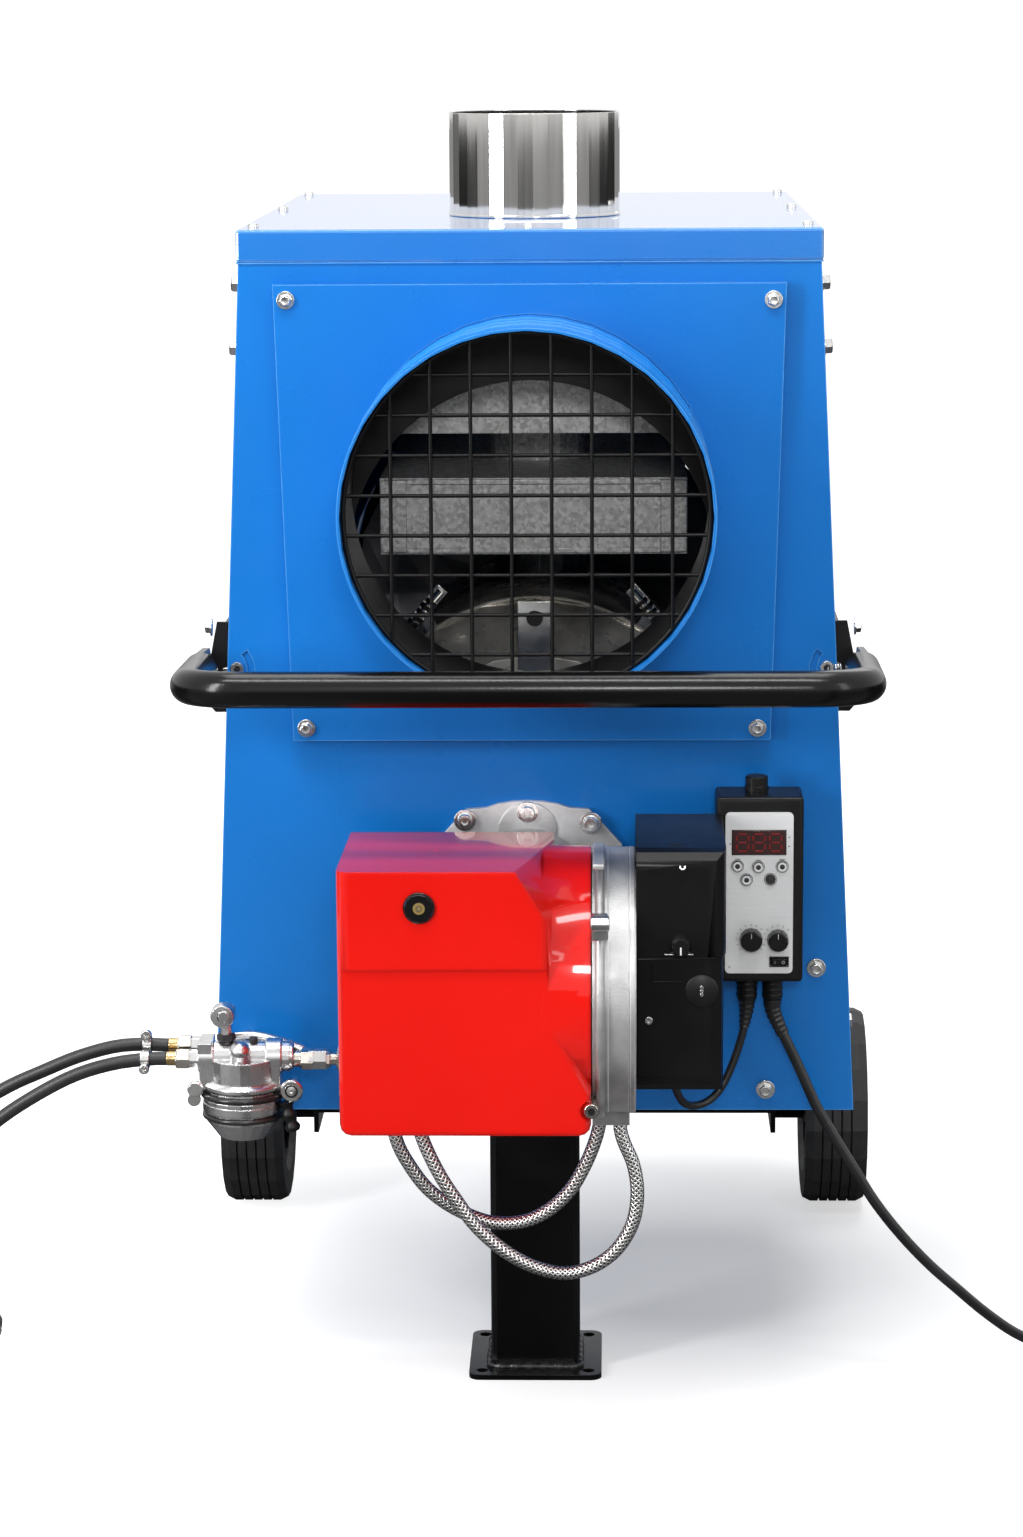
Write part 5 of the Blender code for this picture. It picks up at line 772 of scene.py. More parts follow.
def build_plug(end, out):
    """A two-pin plug with a tapered, ribbed sleeve, a grip and bright pins."""
    place = at(*(end + out * 0.0003))
    piece = Piece("plug", "cable", "zinc")
    sleeve = [(0.0, 0.0), (0.0058, 0.0)]
    for rib in range(5):
        radius, along = 0.0058 + 0.0004 * rib, 0.0008 + 0.0048 * rib
        sleeve += [
            (radius, along), (radius, along + 0.0026), (radius - 0.001, along + 0.003),
            (radius - 0.001, along + 0.0046)
        ]
    body = contour((80, 260), (120, 300), (143, 350), (143, 440), (130, 470), (130, 530))
    body += contour((143, 560), (143, 590), (135, 600), (0, 600))
    piece.lathe(sleeve + body, place, out, 0, 32)
    side = Vector((out.y, -out.x, 0.0))
    for sign in (-1, 1):
        base = place + out * 0.0598 + side * sign * 0.0095
        piece.lathe(contour((23, 0), (23, 175), (12, 190), (0, 190)), base, out, 1, 16)
    return piece.done(stands_for=("mains_plug",))


def build_relief(name, points, length, start_radius, end_radius):
    """A tapered sleeve with rings, round the first stretch of a lead."""
    run = smooth_route(points, 0.0012)
    placed, radii, travelled = [], [], 0.0
    for before, point in zip([run[0]] + run, run):
        travelled += (point - before).length
        if travelled > length:
            break
        share = travelled / length
        ring = 0.0006 if 0.12 < share < 0.95 and int(travelled / 0.0024) % 2 else 0.0
        placed.append(at(*point))
        radii.append(start_radius + (end_radius - start_radius) * share - ring)
    piece = Piece(name, "cable")
    piece.tube(placed, radii, sides=20)
    return piece.done(angle=60)


def build_cords():
    loops, out = coil_points((0.535, 0.1395), COIL_RADIUS, MAINS_RADIUS, (2.25, 2.5), radians(-90), 1)
    plug = build_plug(loops[-1], out)
    mains = smooth_route(MAINS_ROUTE) + loops
    cord(
        "mains_lead", mains, MAINS_RADIUS, "cable", ("mains_cord", "mains_coil"),
    )
    hoses = (("supply", SUPPLY_ROUTE, 0.077, -1), ("return", RETURN_ROUTE, -0.185, 1))
    for name, route, y, sense in hoses:
        loops, out = coil_points((-0.5745, y), COIL_RADIUS, HOSE_RADIUS, (1.25, 1.75), pi, sense)
        cord(
            name + "_oil_hose", smooth_route(route) + loops, HOSE_RADIUS, "hose",
            (name + "_hose", name + "_coil"),
        )
    for name, route in (("inner", INNER_ROUTE), ("outer", OUTER_ROUTE)):
        cord(
            name + "_braided_line", smooth_route(route, 0.006), BRAID_RADIUS, "braid",
            ("braided_hose_" + name,),
        )
    cord(
        "burner_cable", smooth_route(LEAD_ROUTE, 0.006), LEAD_RADIUS, "cable",
        ("burner_lead",),
    )
    build_relief("mains_strain_relief", MAINS_ROUTE, 0.034, 0.0082, 0.0057)
    build_relief("burner_strain_relief", LEAD_ROUTE, 0.026, 0.0078, 0.0046)


# ---------------------------------------------------------------- cabinet details
BASE_HEIGHT = 0.25
TOP_HEIGHT = 1.031
DEPTH = 0.69
PANEL_LEAN = 0.0465


def half_width(height):
    return 0.285 - 0.035 / (1.003 - BASE_HEIGHT) * (height - BASE_HEIGHT)


def build_cabinet_bolts():
    piece = Piece("front_bolts", "zinc")
    for x, z in ((0.2508, 0.3807), (0.2066, 0.269)):
        bolt(piece, at(x, -0.0004, z), FRONT, flats=0.0108, washer=0.0085, turn=0.5 + x)
    piece.done()
    piece = Piece("duct_plate_bolts", "zinc")
    for x, z in ((-0.2087, 0.9718), (0.2087, 0.9706), (-0.197, 0.5995), (0.197, 0.5989)):
        bolt(piece, at(x, -0.0121, z), FRONT, turn=0.35 + x)
    piece.done()
    piece = Piece("side_bolts", "zinc")
    slope = Vector((1.0, 0.0, PANEL_LEAN)).normalized()
    for side in (-1, 1):
        axis = (slope.x * side, 0.0, slope.z)
        for y in (0.03, 0.655):
            for z in (0.983, 0.928):
                bolt(
                    piece, at(side * (half_width(z) + 0.0001), y, z), axis, 0.013, 0.0062, 0.0095,
                    turn=0.1 + y
                )
        for y, z in ((0.345, 0.983), (0.655, 0.64), (0.655, 0.32), (0.345, 0.3), (0.12, 0.3)):
            bolt(piece, at(side * (half_width(z) + 0.0001), y, z), axis, 0.013, 0.0062, 0.0095, turn=0.4 + z)
    piece.done()
    piece = Piece("lid_screws", "zinc")
    for x in (-0.24, 0.24):
        for y in (0.04, 0.348, 0.66):
            cap_screw(piece, at(x, y, TOP_HEIGHT), UP, 0.0048, 0.0034)
    for y in (0.026, 0.668):
        cap_screw(piece, at(-0.001, y, TOP_HEIGHT), UP, 0.0044, 0.003)
    piece.done()
    piece = Piece("rear_bolts", "zinc")
    for x_share, z in ((0.9, 0.985), (0.0, 0.985), (0.9, 0.7), (0.92, 0.3), (0.45, 0.275)):
        for side in (-1, 1):
            x = side * x_share * (half_width(z) - 0.004)
            if side == 1 or x_share:
                bolt(piece, at(x, DEPTH + 0.0002, z), BACK, washer=0.007, flats=0.009, head=0.0038)
    piece.done()
    seam = contour((781, 0), (788, 6), (788, 22), (781, 30))
    turned("flue_seam", "stainless", seam, at(0.0, 0.2425, TOP_HEIGHT), UP, 64)


def build_seams():
    """The folded lip under the lid's rim."""
    piece = Piece("lid_fold", "blue")
    rim = 0.0284
    half = 0.2513
    corners = ((-half, -0.001), (half, -0.001), (half, DEPTH + 0.001), (-half, DEPTH + 0.001))
    piece.tube([at(x, y, TOP_HEIGHT - rim) for x, y in corners], 0.0006, sides=8, closed=True)
    piece.done()


GRILLE_Y = -0.15
GRILLE_PITCH = 0.0333
GRILLE_RING = 0.1525
CLIP_RING = 0.1528
DUCT_HEIGHT = 0.802


def build_grille():
    """Crossed round wires welded into a ring, held by short clips on the collar's inside."""
    piece = Piece("grille_wires", "wire")
    reach = GRILLE_RING
    for step in range(8):
        offset = (step - 3.5) * GRILLE_PITCH
        x, z = 0.004 + offset, 0.0015 + offset
        for across, along in (((1, 0), x), ((0, 1), z)):
            half = sqrt(reach**2 - along**2) - 0.0005
            depth = GRILLE_Y - 0.0012 if across == (1, 0) else GRILLE_Y + 0.0012
            ends = [(along, -half), (along, half)] if across == (1, 0) else [(-half, along), (half, along)]
            piece.tube([at(a, depth, DUCT_HEIGHT + b) for a, b in ends], 0.00165, sides=10)
    piece.tube(
        circle(at(0.0, GRILLE_Y, DUCT_HEIGHT), reach - 0.0002, FRONT, 96), 0.0022, sides=10, closed=True
    )
    for step in range(16):
        angles = [2 * pi * step / 16 + k * 0.028 for k in range(6)]
        run = [at(CLIP_RING * cos(a), GRILLE_Y + 0.0045, DUCT_HEIGHT + CLIP_RING * sin(a)) for a in angles]
        piece.tube(run, 0.0017, sides=8)
    piece.done(stands_for=("outlet_grille",))
    trim = contour((1550, 0), (1553, -4), (1570, -4), (1573, 0), (1573, 12), (1550, 12))
    turned("collar_trim", "blue", trim, at(0.0, -0.1625, DUCT_HEIGHT), FRONT, 96)
    liner = contour((1549, 0), (1549, 1470), (1543, 1470), (1543, 0), (1549, 0))
    turned("collar_liner", "bracket", liner, at(0.0, -0.147, DUCT_HEIGHT), BACK, 96)


GUARD_Y = 0.6932
FAN_HEIGHT = 0.64


def build_guard():
    """Round wire rings on six spokes with a centre disc, over the fan's inlet."""
    piece = Piece("guard_wires", "wire")
    for step in range(10):
        radius = 0.206 - step * 0.0162
        piece.tube(
            circle(at(0.0, GUARD_Y, FAN_HEIGHT), radius, BACK, 72), 0.0018 if step else 0.0028, sides=8,
            closed=True
        )
    for step in range(6):
        angle = 2 * pi * step / 6 + pi / 6
        way = Vector((cos(angle), sin(angle)))
        ends = [at(way.x * r, GUARD_Y - 0.0006, FAN_HEIGHT + way.y * r) for r in (0.05, 0.2075)]
        piece.tube(ends, 0.0021, sides=8)
    piece.lathe(
        contour((0, 0), (550, 0), (555, 10), (540, 30), (200, 36), (0, 36)),
        at(0.0, GUARD_Y - 0.0019, FAN_HEIGHT), BACK, 0, 48,
    )
    rim = contour((1855, 0), (2085, 0), (2090, 6), (2085, 12), (1855, 12), (1855, 0))
    piece.lathe(rim, at(0.0, DEPTH + 0.0003, FAN_HEIGHT), BACK, 0, 72)
    piece.done(stands_for=("fan_guard",))
    piece = Piece("guard_bolts", "zinc")
    for step in range(6):
        angle = 2 * pi * step / 6
        spot = at(0.213 * cos(angle), DEPTH + 0.0002, FAN_HEIGHT + 0.213 * sin(angle))
        bolt(piece, spot, BACK, flats=0.008, head=0.0034, washer=0.0062)
    piece.done()


DRUM_HEIGHT = 0.51


def build_inside():
    """What shows through the grille: frames, weld seams and the two sensor holders."""
    piece = Piece("exchanger_frame", "galvanised", "drum")
    low, high, half, front = 0.734, 0.803, 0.138, 0.12
    for x in (-half + 0.012, half - 0.012):
        piece.block(at(x - 0.012, front - 0.003, low + 0.002), at(x + 0.012, front - 0.0004, high - 0.002))
    piece.block(
        at(-half + 0.004, front - 0.0022, high - 0.006), at(half - 0.004, front - 0.0004, high - 0.001)
    )
    piece.block(at(-half + 0.004, front - 0.0022, low + 0.001), at(half - 0.004, front - 0.0004, low + 0.006))
    piece.done(bevel=0.0008)
    piece = Piece("drum_seam", "drum")
    piece.tube(circle(at(0.0, 0.237, DRUM_HEIGHT), 0.1674, BACK, 72), 0.002, sides=8, closed=True)
    piece.done()
    piece = Piece("drum_lug_plate", "zinc", "print")
    piece.block(at(-0.0153, 0.1452, 0.612), at(0.0153, 0.1461, 0.6866))
    # A dark disc where the lug's hole is: painted shade in place of the hole
    piece.lathe(disc(0.0075, 0.0002), at(0.0, 0.1452, 0.6715), FRONT, 1, 32)
    piece.done(bevel=0.0002)
    for name, side in SIDES:
        low, high = Vector((side * 0.128, 0.64)), Vector((side * 0.089, 0.684))
        way = (high - low).normalized()
        piece = Piece("sensor_holder_" + name, "zinc", "plastic")
        flat = Vector((-way.y, way.x)) * 0.006
        start, end = low - way * 0.004, high + way * 0.002
        outline = [start - flat, start + flat, end + flat, end - flat]
        piece.skin([[at(p.x, y, p.y) for p in outline] for y in (0.239, 0.2374)], 0)
        centre, middle = Vector((0.0, DRUM_HEIGHT)), (low + high) / 2
        down = (centre - middle).normalized()
        foot = centre - down * 0.166
        leg = [middle - way * 0.006, middle + way * 0.006, foot + way * 0.006, foot - way * 0.006]
        piece.skin([[at(p.x, y, p.y) for p in leg] for y in (0.2408, 0.2392)], 0)
        piece.tube([at(low.x, 0.2336, low.y), at(high.x, 0.2336, high.y)], 0.0034, 0, sides=12)
        for k in range(6):
            spot = low + way * (0.01 + 0.0065 * k)
            run = [at(spot.x, 0.2336, spot.y), at(spot.x + way.x * 0.004, 0.2336, spot.y + way.y * 0.004)]
            piece.tube(run, 0.0056 if k % 2 else 0.0068, 1, sides=14)
        piece.done(bevel=0.0003)


# ---------------------------------------------------------------- leg, wheels and handle
LEG_Y = 0.047


def build_leg():
    """Weld beads round the leg's foot and under the cabinet."""
    half, corner = 0.04, 0.006
    run = []
    for cx, cy, start in ((1, 1, 0), (-1, 1, 90), (-1, -1, 180), (1, -1, 270)):
        for step in range(4):
            angle = radians(start + step * 30)
            run.append(Vector((
                (half - corner) * cx + corner * cos(angle), (half - corner) * cy + corner * sin(angle), 0.0
            )))
    fine = []
    for first, second in zip(run, run[1:] + run[:1]):
        count = max(1, round((second - first).length / 0.004))
        fine += [first.lerp(second, k / count) for k in range(count)]
    steps = range(len(fine))
    foot = [0.0036 + 0.001 * sin(k * 1.9) + 0.0006 * sin(k * 4.3) for k in steps]
    top = [0.0024 + 0.0005 * sin(k * 2.3) for k in steps]
    for name, height, radii, sides in (("leg_weld", 0.0058, foot, 10), ("leg_top_weld", 0.2478, top, 8)):
        piece = Piece(name, "weld")
        piece.tube([at(p.x, LEG_Y + p.y, height) for p in fine], radii, sides=sides, closed=True)
        piece.done(angle=80)


WHEEL_OUTER = 0.329
WHEEL_Y = 0.536
WHEEL_HEIGHT = 0.1


def build_wheels():
    for name, side in SIDES:
        outer = WHEEL_OUTER * side
        axis = (float(side), 0.0, 0.0)
        piece = Piece("wheel_trim_" + name, "plastic", "zinc")
        centre = at(outer - side * 0.008, WHEEL_Y, WHEEL_HEIGHT)
        piece.lathe(contour((300, 0), (300, 16), (275, 30), (190, 36)), centre, axis, 0, 48)
        for step in range(5):
            angle = 2 * pi * step / 5 + 0.3
            spot = centre + Vector((0.0, 0.046 * cos(angle), 0.046 * sin(angle)))
            hex_head(piece, spot, axis, 0.008, 0.0036, 1)
        piece.done(name + "_wheel")


COIL_LINE_POINTS = 14


def coil_line(start, end, radius, turns):
    """Points of a wound spring from one place to another."""
    way = end - start
    normal = way.normalized().orthogonal().normalized()
    side = way.normalized().cross(normal)
    count = int(turns * COIL_LINE_POINTS)
    turned_by = [2 * pi * k / COIL_LINE_POINTS for k in range(count + 1)]
    return [
        start + way * (k / count) + (normal * cos(a) + side * sin(a)) * radius
        for k, a in enumerate(turned_by)
    ]


def build_handle_details():
    """A round skin over the bent tube, and the pins and bolts of its brackets."""
    slope, height = 0.02 / 0.25, 0.668
    half = [(0.2872, -0.0225, height - slope * 0.1875)]
    for step in range(17):
        angle = pi / 2 * step / 16
        x, y = 0.231 + 0.052 * cos(angle), -0.158 - 0.052 * sin(angle)
        half.append((x, y, height - slope * (y + 0.21)))
    run = [(-x, y, z) for x, y, z in half] + [(x, y, z) for x, y, z in reversed(half)]
    piece = Piece("handle_skin", "black_paint")
    piece.tube([at(*point) for point in run], 0.01515, sides=40)
    piece.done("handle", angle=60)
    for name, side in SIDES:
        piece = Piece("lock_pin_" + name, "zinc", "print")
        inner = at(side * 0.256, 0.002, 0.65)
        outer = at(side * 0.27, 0.0065, 0.648)
        piece.tube([inner, outer], 0.0032, 0, sides=14)
        if side == 1:
            piece.tube(
                coil_line(inner.lerp(outer, 0.02), inner.lerp(outer, 0.98), 0.0056, 6.0), 0.0008, 0, sides=6
            )
        head = at(side * 0.2575, -0.0006, 0.6508)
        # The screw's socket takes the dark print look: painted shade in the recess
        cap_screw(piece, head, FRONT, 0.0062, 0.004, 0, 1)
        piece.done()
        piece = Piece("bracket_bolts_" + name, "zinc")
        axis = (float(side), 0.0, 0.0)
        for z in (0.679, 0.62):
            bolt(piece, at(side * 0.2842, 0.05, z), axis)
        piece.done()


# ---------------------------------------------------------------- burner details
BURNER_Y = -0.1245
BURNER_HEIGHT = 0.402


def build_burner_bolts():
    piece = Piece("burner_flange_bolts", "zinc", "print")
    for x, z in ((-0.059, 0.516), (-0.004, 0.523), (0.0515, 0.5135)):
        place = at(x, -0.0069, z)
        piece.lathe(contour((0, 0), (98, 0), (98, 14), (92, 20), (0, 20)), place, FRONT, 0)
        cap_screw(piece, place + Vector(FRONT) * 0.0018, FRONT, 0.0066, 0.0062, 0, 0)
    piece.done()
    boss = contour((260, 0), (265, 14), (240, 22), (0, 22))
    turned("flange_boss", "cast", boss, at(-0.004, -0.0066, 0.506), FRONT, 40, bevel=0.0006)


def build_housing_details():
    piece = Piece("housing_lugs", "cast")
    piece.block(at(0.054, -0.206, 0.5155), at(0.064, -0.12, 0.5205))
    piece.done(bevel=0.0015)
    piece = Piece("housing_clip", "smooth_cast")
    run = [at(0.0522, -0.244, 0.479), at(0.068, -0.244, 0.479)]
    piece.tube(run, 0.0066, 0, sides=24)
    piece.block(at(0.0532, -0.242, 0.464), at(0.067, -0.23, 0.485))
    piece.done(bevel=0.0012)
    piece = Piece("housing_band", "cast")
    centre = at(0.0, BURNER_Y, BURNER_HEIGHT)
    for radius, x0, x1 in ((0.1138, 0.063, 0.067), (0.1133, 0.0532, 0.0845), (0.1137, 0.0845, 0.0895)):
        profile = [(0.112, x0), (radius, x0 + 0.0005), (radius, x1 - 0.0005), (0.112, x1)]
        piece.lathe(profile, centre, RIGHT, 0, 72)
    piece.done()
    piece = Piece("housing_ledge", "cast")
    angles = [1.9 + k * 0.04 for k in range(66)]
    run = [at(0.06, BURNER_Y + 0.115 * cos(a), BURNER_HEIGHT + 0.115 * sin(a)) for a in angles]
    piece.tube(run, 0.004, 0, sides=12)
    piece.done()
    piece = Piece("cover_screw", "nickel", "print")
    # The screw's socket takes the dark print look: painted shade in the recess
    cap_screw(piece, at(0.0528, -0.2365, 0.3185), FRONT, 0.0066, 0.005, 0, 1)
    piece.lathe([(0.004, 0.0), (0.004, 0.09)], at(0.0528, -0.2365, 0.3185), BACK, 0, 16)
    piece.done()
    collar = contour((122, 0), (130, 3), (132, 10), (126, 18), (121, 16))
    turned("reset_collar", "gloss", collar, at(-0.0883, -0.2403, 0.4915), FRONT, 48)
    piece = Piece("reset_lens", "amber", "print")
    place = at(-0.0883, -0.2429, 0.4915)
    piece.lathe(contour((50, -4), (50, 3), (44, 3), (0, 1)), place, FRONT, 0, 32)
    piece.lathe(
        [(0.0026, 0.00015), (0.0026, 0.0003), (0.0018, 0.0003), (0.0018, 0.00015)], place, FRONT, 1, 24
    )
    piece.done("reset_key")


def build_case_details():
    """Screws, slots and seams of the two black covers."""
    piece = Piece("case_screws", "zinc", "plastic")
    plate = at(0.1445, -0.2062, 0.4125)
    piece.lathe(
        contour((0, -30), (138, -30), (138, 0), (128, 7), (0, 7)), plate, FRONT, 1, 40,
    )
    for offset in (-0.003, 0.0, 0.003):
        piece.lathe(contour((16, 5), (15, 12), (0, 12)), plate + Vector((0.0, 0.0, offset)), FRONT, 0, 12)
    cap_screw(piece, at(0.1005, -0.2052, 0.387), FRONT, 0.0034, 0.0016, 0)
    cap_screw(piece, at(0.1285, -0.203, 0.517), Vector((0.0, -0.8, 0.6)).normalized(), 0.003, 0.0018, 0)
    piece.block(at(0.118, -0.18, 0.5308), at(0.131, -0.174, 0.5314), 1)
    piece.done()
    piece = Piece("case_seams", "case")
    for low, high in (
        ((0.103, -0.2058, 0.42), (0.1295, -0.2046, 0.4207)),
        ((0.103, -0.2058, 0.42), (0.1037, -0.2046, 0.439)),
        ((0.093, -0.2058, 0.4402), (0.157, -0.2046, 0.4408)),
    ):
        piece.block(at(*low), at(*high))
    piece.done()
    piece = Piece("damper_mark", "mark")
    place = at(0.127, -0.2134, 0.451)
    piece.block(place + Vector((-0.0007, -0.0004, -0.0062)), place + Vector((0.0007, 0.0002, 0.0005)), 0)
    piece.done("air_damper", bevel=0.0002)
    piece = Piece("damper_plate", "zinc")
    piece.block(at(0.1135, -0.2066, 0.4433), at(0.1375, -0.205, 0.4441))
    piece.done(bevel=0.0002)
    piece = Piece("motor_slots", "print")
    for k in range(6):
        y = -0.085 - k * 0.014
        piece.block(at(0.1623, y - 0.0035, 0.345), at(0.1632, y + 0.0035, 0.4))
    piece.done(bevel=0.0004)


def build_rounded():
    """Softer copies of the moulded covers, whose outer edges carry a real rounding."""
    for name, slot, width, look in (
        ("burner_cover", "red_cover", 0.008, "red"),
        ("intake_cover", "black_plastic", 0.01, "case"),
        ("burner_motor", "black_plastic", 0.01, "case"),
        ("control_box", "black_plastic", 0.0022, "plastic"),
    ):
        node = NODES[name]
        bm = bmesh.new()
        bm.from_mesh(node.data)
        bm.transform(node.matrix_world)
        bmesh.ops.remove_doubles(bm, verts=bm.verts, dist=0.00002)
        bmesh.ops.dissolve_limit(bm, angle_limit=radians(2.0), verts=bm.verts, edges=bm.edges)
        tree = BVHTree.FromBMesh(bm)
        chosen = []
        for line in bm.edges:
            if len(line.link_faces) != 2 or line.calc_face_angle(0.0) < radians(22) or not line.is_convex:
                continue
            if line.calc_length() < width * 1.2:
                continue
            way = (line.link_faces[0].normal + line.link_faces[1].normal).normalized()
            middle = (line.verts[0].co + line.verts[1].co) / 2
            if tree.ray_cast(middle + way * 0.0005, way)[0] is None:
                chosen.append(line)
        bmesh.ops.bevel(
            bm, geom=chosen, offset=width, offset_type="OFFSET", segments=4, profile=0.5, affect="EDGES",
            clamp_overlap=True, loop_slide=True,
        )
        bmesh.ops.recalc_face_normals(bm, faces=bm.faces)
        data = bpy.data.meshes.new(name + "_rounded")
        bm.to_mesh(data)
        bm.free()
        data.materials.append(M[look])
        data.shade_smooth()
        data.set_sharp_from_angle(angle=radians(42))
        made = make_object(name + "_rounded", data)
        even = made.modifiers.new("even", "WEIGHTED_NORMAL")
        even.keep_sharp = True
        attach(made, "heater")
        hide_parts(name)


# ---------------------------------------------------------------- control box
FACE_FRONT = -0.0519
FACE_Y = FACE_FRONT - CENTRE_Y


def build_controls():
    low, high = (0.1745, 0.4949), (0.2206, 0.516)
    piece = Piece("display", "gloss", "window")
    piece.block(
        at(low[0] - 0.0006, FACE_FRONT - 0.0005, low[1] - 0.0006),
        at(high[0] + 0.0006, FACE_FRONT + 0.0002, high[1] + 0.0006), 0
    )
    piece.block(at(low[0], FACE_FRONT - 0.0008, low[1]), at(high[0], FACE_FRONT - 0.0004, high[1]), 1)
    piece.done(bevel=0.0002)
    piece = Piece("display_figures", "segment")
    front = FACE_FRONT - 0.0009
    for digit in range(3):
        x = low[0] + 0.0036 + digit * 0.0143
        left, right, bottom, top = x, x + 0.0102, low[1] + 0.003, high[1] - 0.003
        middle = (bottom + top) / 2
        wide = 0.0015
        bars = [((left + wide, right - wide), (z - wide / 2, z + wide / 2)) for z in (bottom, middle, top)]
        for x0 in (left, right):
            bars += [((x0 - wide / 2, x0 + wide / 2), (bottom + wide, middle - wide))]
            bars += [((x0 - wide / 2, x0 + wide / 2), (middle + wide, top - wide))]
        for (xa, xb), (za, zb) in bars:
            piece.block(at(xa, front, za), at(xb, front + 0.0002, zb))
    piece.done()
    piece = Piece("panel_marks", "print")
    for number in range(1, 6):
        centre, _, _ = box_of("push_button_%d" % number)
        place = Vector((centre.x, FACE_Y, centre.z))
        piece.lathe(contour((56, 0), (56, 2), (52, 2), (52, 0)), place, FRONT, 0, 40)
        if number < 4:
            piece.block(place + Vector((-0.0022, -0.0002, 0.006)), place + Vector((0.0022, 0.0, 0.0064)))
    for name, ticks in (("thermostat_knob", 13), ("mode_knob", 5)):
        centre, _, _ = box_of(name)
        span = 270 if ticks > 5 else 90
        for k in range(ticks):
            angle = radians(90 + span / 2 - span * k / (ticks - 1))
            way = Vector((cos(angle), 0.0, sin(angle)))
            start = Vector((centre.x, FACE_Y - 0.0001, centre.z)) + way * 0.0118
            piece.tube([start, start + way * 0.0016], 0.0002, sides=6)
    for x, z in ((0.1722, 0.3945), (0.1725, 0.504), (0.2235, 0.51), (0.2235, 0.502)):
        piece.lathe(contour((9, 0), (9, 2), (0, 2)), at(x, FACE_FRONT, z), FRONT, 0, 3)
    centre, low_corner, _ = box_of("power_switch")
    frame_low, frame_high = centre - Vector((0.0085, 0.0, 0.0046)), centre + Vector((0.0085, 0.0, 0.0046))
    for a, b in (
        ((frame_low.x, frame_low.z), (frame_high.x, frame_low.z + 0.0008)),
        ((frame_low.x, frame_high.z - 0.0008), (frame_high.x, frame_high.z)),
        ((frame_low.x, frame_low.z), (frame_low.x + 0.0008, frame_high.z)),
        ((frame_high.x - 0.0008, frame_low.z), (frame_high.x, frame_high.z)),
    ):
        piece.block((a[0], FACE_Y - 0.0008, a[1]), (b[0], FACE_Y + 0.0002, b[1]))
    piece.done()
    piece = Piece("rocker_marks", "mark")
    front = low_corner.y - 0.0001
    piece.block(
        (centre.x - 0.0038, front, centre.z - 0.0013), (centre.x - 0.0034, front + 0.0002, centre.z + 0.0013)
    )
    piece.lathe(
        contour((14, 0), (14, 2), (10, 2), (10, 0)), (centre.x + 0.0036, front + 0.0002, centre.z), FRONT, 0,
        24
    )
    piece.done("rocker")
    for name, body in (("thermostat_knob", "thermostat_dial"), ("mode_knob", "mode_dial")):
        centre, low_corner, high_corner = box_of(name)
        piece = Piece(name + "_grip", "gloss", "mark")
        radius = (high_corner.x - low_corner.x) / 2
        place = Vector((centre.x, FACE_Y - 0.0036, centre.z))
        for k in range(24):
            angle = 2 * pi * k / 24
            way = Vector((cos(angle), 0.0, sin(angle)))
            spot = place + way * (radius * 0.935)
            piece.tube([spot, spot + Vector((-0.0006 * way.x, -0.0058, -0.0006 * way.z))], 0.0006, sides=8)
        front = low_corner.y - 0.00005
        piece.block(
            (centre.x - 0.0003, front, centre.z + 0.003),
            (centre.x + 0.0003, front + 0.0002, centre.z + 0.0074), 1
        )
        piece.done(body)
    for number in range(1, 6):
        centre, low_corner, _ = box_of("push_button_%d" % number)
        piece = Piece("key_cap_%d" % number, "print" if number == 5 else "silver", "print")
        place = Vector((centre.x, low_corner.y - 0.00002, centre.z))
        piece.lathe(
            [(0.004, 0.0003), (0.004, -0.0001), (0.0036, -0.00035), (0.0022, -0.0001)], place, BACK, 0, 32
        )
        piece.lathe(contour((22, -1), (19, -3), (0, -3)), place, BACK, 1, 24)
        piece.done("key_%d" % number)
    piece = Piece("box_glands", "plastic")
    for x in (0.1885, 0.211):
        for k in range(3):
            piece.lathe(
                contour((88, 0), (94, 8), (94, 22), (88, 30)), at(x, -0.028, 0.3625 + k * 0.0052), UP, 0, 10,
            )
    piece.done()
    plug = contour((98, 0), (104, 6), (104, 50), (90, 62))
    turned("box_top_plug", "plastic", plug, at(0.196, -0.028, 0.5462), UP, 10)


